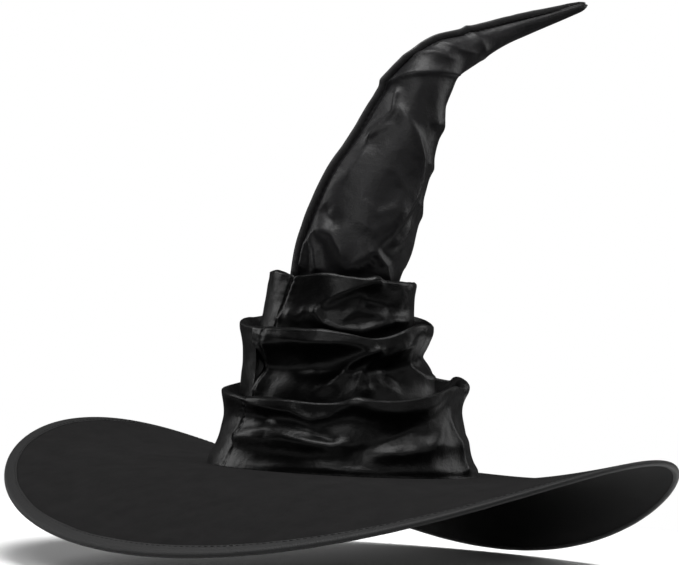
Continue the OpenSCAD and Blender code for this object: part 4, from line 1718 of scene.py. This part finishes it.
        bm = cloth_grid(place, around=400, along=14)
        face_out(bm, lambda f: f.normal.z)
        piece = finish_mesh(bm, "neck_satin")
        thicken(piece, 0.6 * MM)
        return piece

    def build(self) -> None:
        """Builds and dresses everything inside."""
        place_piece(self.finishes, self.lining(), "head_lining", "hat", "crown_lining", "lining_top")
        place_piece(self.finishes, self.sweatband(), "sweatband_tape", "hat", "sweatband")
        place_piece(self.finishes, self.band_stitches(), "thread", "hat", "sweatband_stitching")
        place_piece(self.finishes, self.label(), "label_cloth", "hat", "care_label")
        place_piece(
            self.finishes, self.neck(), "crown_satin", ("hat", "cone"), "neck_cloth",
            start=Vector((-0.010, 0.0, 0.1296)), end=Vector((-0.010, 0.0, 0.1306)))


# ---- studio ------------------------------------------------------------------


@dataclass
class Studio:
    """A pale floor, soft lights and the camera."""

    floor_gap: float = 0.002
    floor_r: float = 0.65
    ambient: float = 0.05
    eye: tuple[float, float, float] = (-1.065862, -1.685795, 0.107337)
    target: tuple[float, float, float] = (-0.010253, 0.003533, 0.141621)
    roll: float = math.radians(2.94)
    lens: float = 141.545
    lit: tuple[float, float, float] = (0.0, 0.0, 0.12)

    def camera(self) -> None:
        """The camera, low and to the right of the seam, rolled a little."""
        eye = Vector(self.eye)
        forward = (Vector(self.target) - eye).normalized()
        right = forward.cross(Vector((0, 0, 1))).normalized()
        up = right.cross(forward)
        right_r = right * math.cos(self.roll) + up * math.sin(self.roll)
        up_r = up * math.cos(self.roll) - right * math.sin(self.roll)
        data = bpy.data.cameras.new("camera")
        data.lens = self.lens
        data.sensor_width = 36.0
        data.clip_end = 60.0
        camera = bpy.data.objects.new("camera", data)
        turn = Matrix((right_r, up_r, -forward)).transposed().to_4x4()
        camera.matrix_world = Matrix.Translation(eye) @ turn
        bpy.context.scene.collection.objects.link(camera)
        bpy.context.scene.camera = camera

    def lamp(
        self, name: str, at: tuple[float, float, float], size: tuple[float, float], power: float,
    ) -> None:
        """One soft rectangular lamp, aimed at the middle of the hat.

        Args:
            name: The lamp's name.
            at: Its place.
            size: Its two sides.
            power: Its watts.
        """
        data = bpy.data.lights.new(name, "AREA")
        data.shape = "RECTANGLE"
        data.size, data.size_y = size
        data.energy = power
        lamp = bpy.data.objects.new(name, data)
        lamp.location = at
        aim = Vector(self.lit) - Vector(at)
        lamp.rotation_euler = aim.to_track_quat("-Z", "Y").to_euler()
        bpy.context.scene.collection.objects.link(lamp)

    def world(self) -> None:
        """Surroundings that are seen white and light the hat only softly."""
        world = bpy.data.worlds.new("surroundings")
        bpy.context.scene.world = world
        bpy.context.scene.view_settings.view_transform = "Standard"
        world.use_nodes = True
        tree = world.node_tree
        background = tree.nodes["Background"]
        path = tree.nodes.new("ShaderNodeLightPath")
        strength = tree.nodes.new("ShaderNodeMapRange")
        strength.inputs["To Min"].default_value = self.ambient
        strength.inputs["To Max"].default_value = 1.0
        tree.links.new(path.outputs["Is Camera Ray"], strength.inputs["Value"])
        tree.links.new(strength.outputs[0], background.inputs["Strength"])
        background.inputs["Color"].default_value = (1.0, 1.0, 1.0, 1.0)

    def floor(self) -> None:
        """A wide pale floor under the hat."""
        bm = bmesh.new()
        bmesh.ops.create_circle(bm, cap_ends=True, segments=96, radius=self.floor_r)
        low = Vector(CAD_BOX[0]).z - self.floor_gap
        bmesh.ops.translate(bm, verts=bm.verts, vec=(0.0, 0.0, low))
        piece = finish_mesh(bm, "floor")
        s = Shader("floor_paint")
        s.set(Base_Color=(0.93, 0.93, 0.93, 1.0), Roughness=0.9)
        piece.data.materials.append(s.material)

    def build(self) -> None:
        """Sets up the whole studio."""
        self.camera()
        self.world()
        self.floor()
        self.lamp("left_lamp", at=(-1.3, 1.9, 1.2), size=(0.9, 1.8), power=26.0)
        self.lamp("right_lamp", at=(2.2, -0.2, 1.1), size=(0.8, 1.8), power=16.0)
        self.lamp("front_left_lamp", at=(-1.7, -1.9, 1.9), size=(1.3, 1.1), power=30.0)
        self.lamp("front_right_lamp", at=(0.9, -2.6, 1.5), size=(1.6, 1.2), power=9.0)
        self.lamp("top_lamp", at=(0.0, -0.1, 2.6), size=(1.4, 1.4), power=76.0)


def dress_frame(finishes: Finishes) -> None:
    """Gives every frame node that still shows the finish of its own slot.

    Args:
        finishes: The hat's finishes.
    """
    slots = {row["node"]: row["material_slot"] for row in frame["record"]["subparts"]}
    for name, node in frame["nodes"].items():
        finishes.dress(node, slots[name])


def main() -> None:
    """Builds the studio and the hat."""
    logging.basicConfig(level=logging.INFO, format="%(message)s")
    finishes = Finishes()
    Studio().build()
    dress_frame(finishes)
    Brim(finishes).build()
    crown = Crown(finishes)
    crown.build()
    Cone(finishes).build()
    Inside(finishes, crown.tucks()).build()


if __name__ == "__main__":
    main()
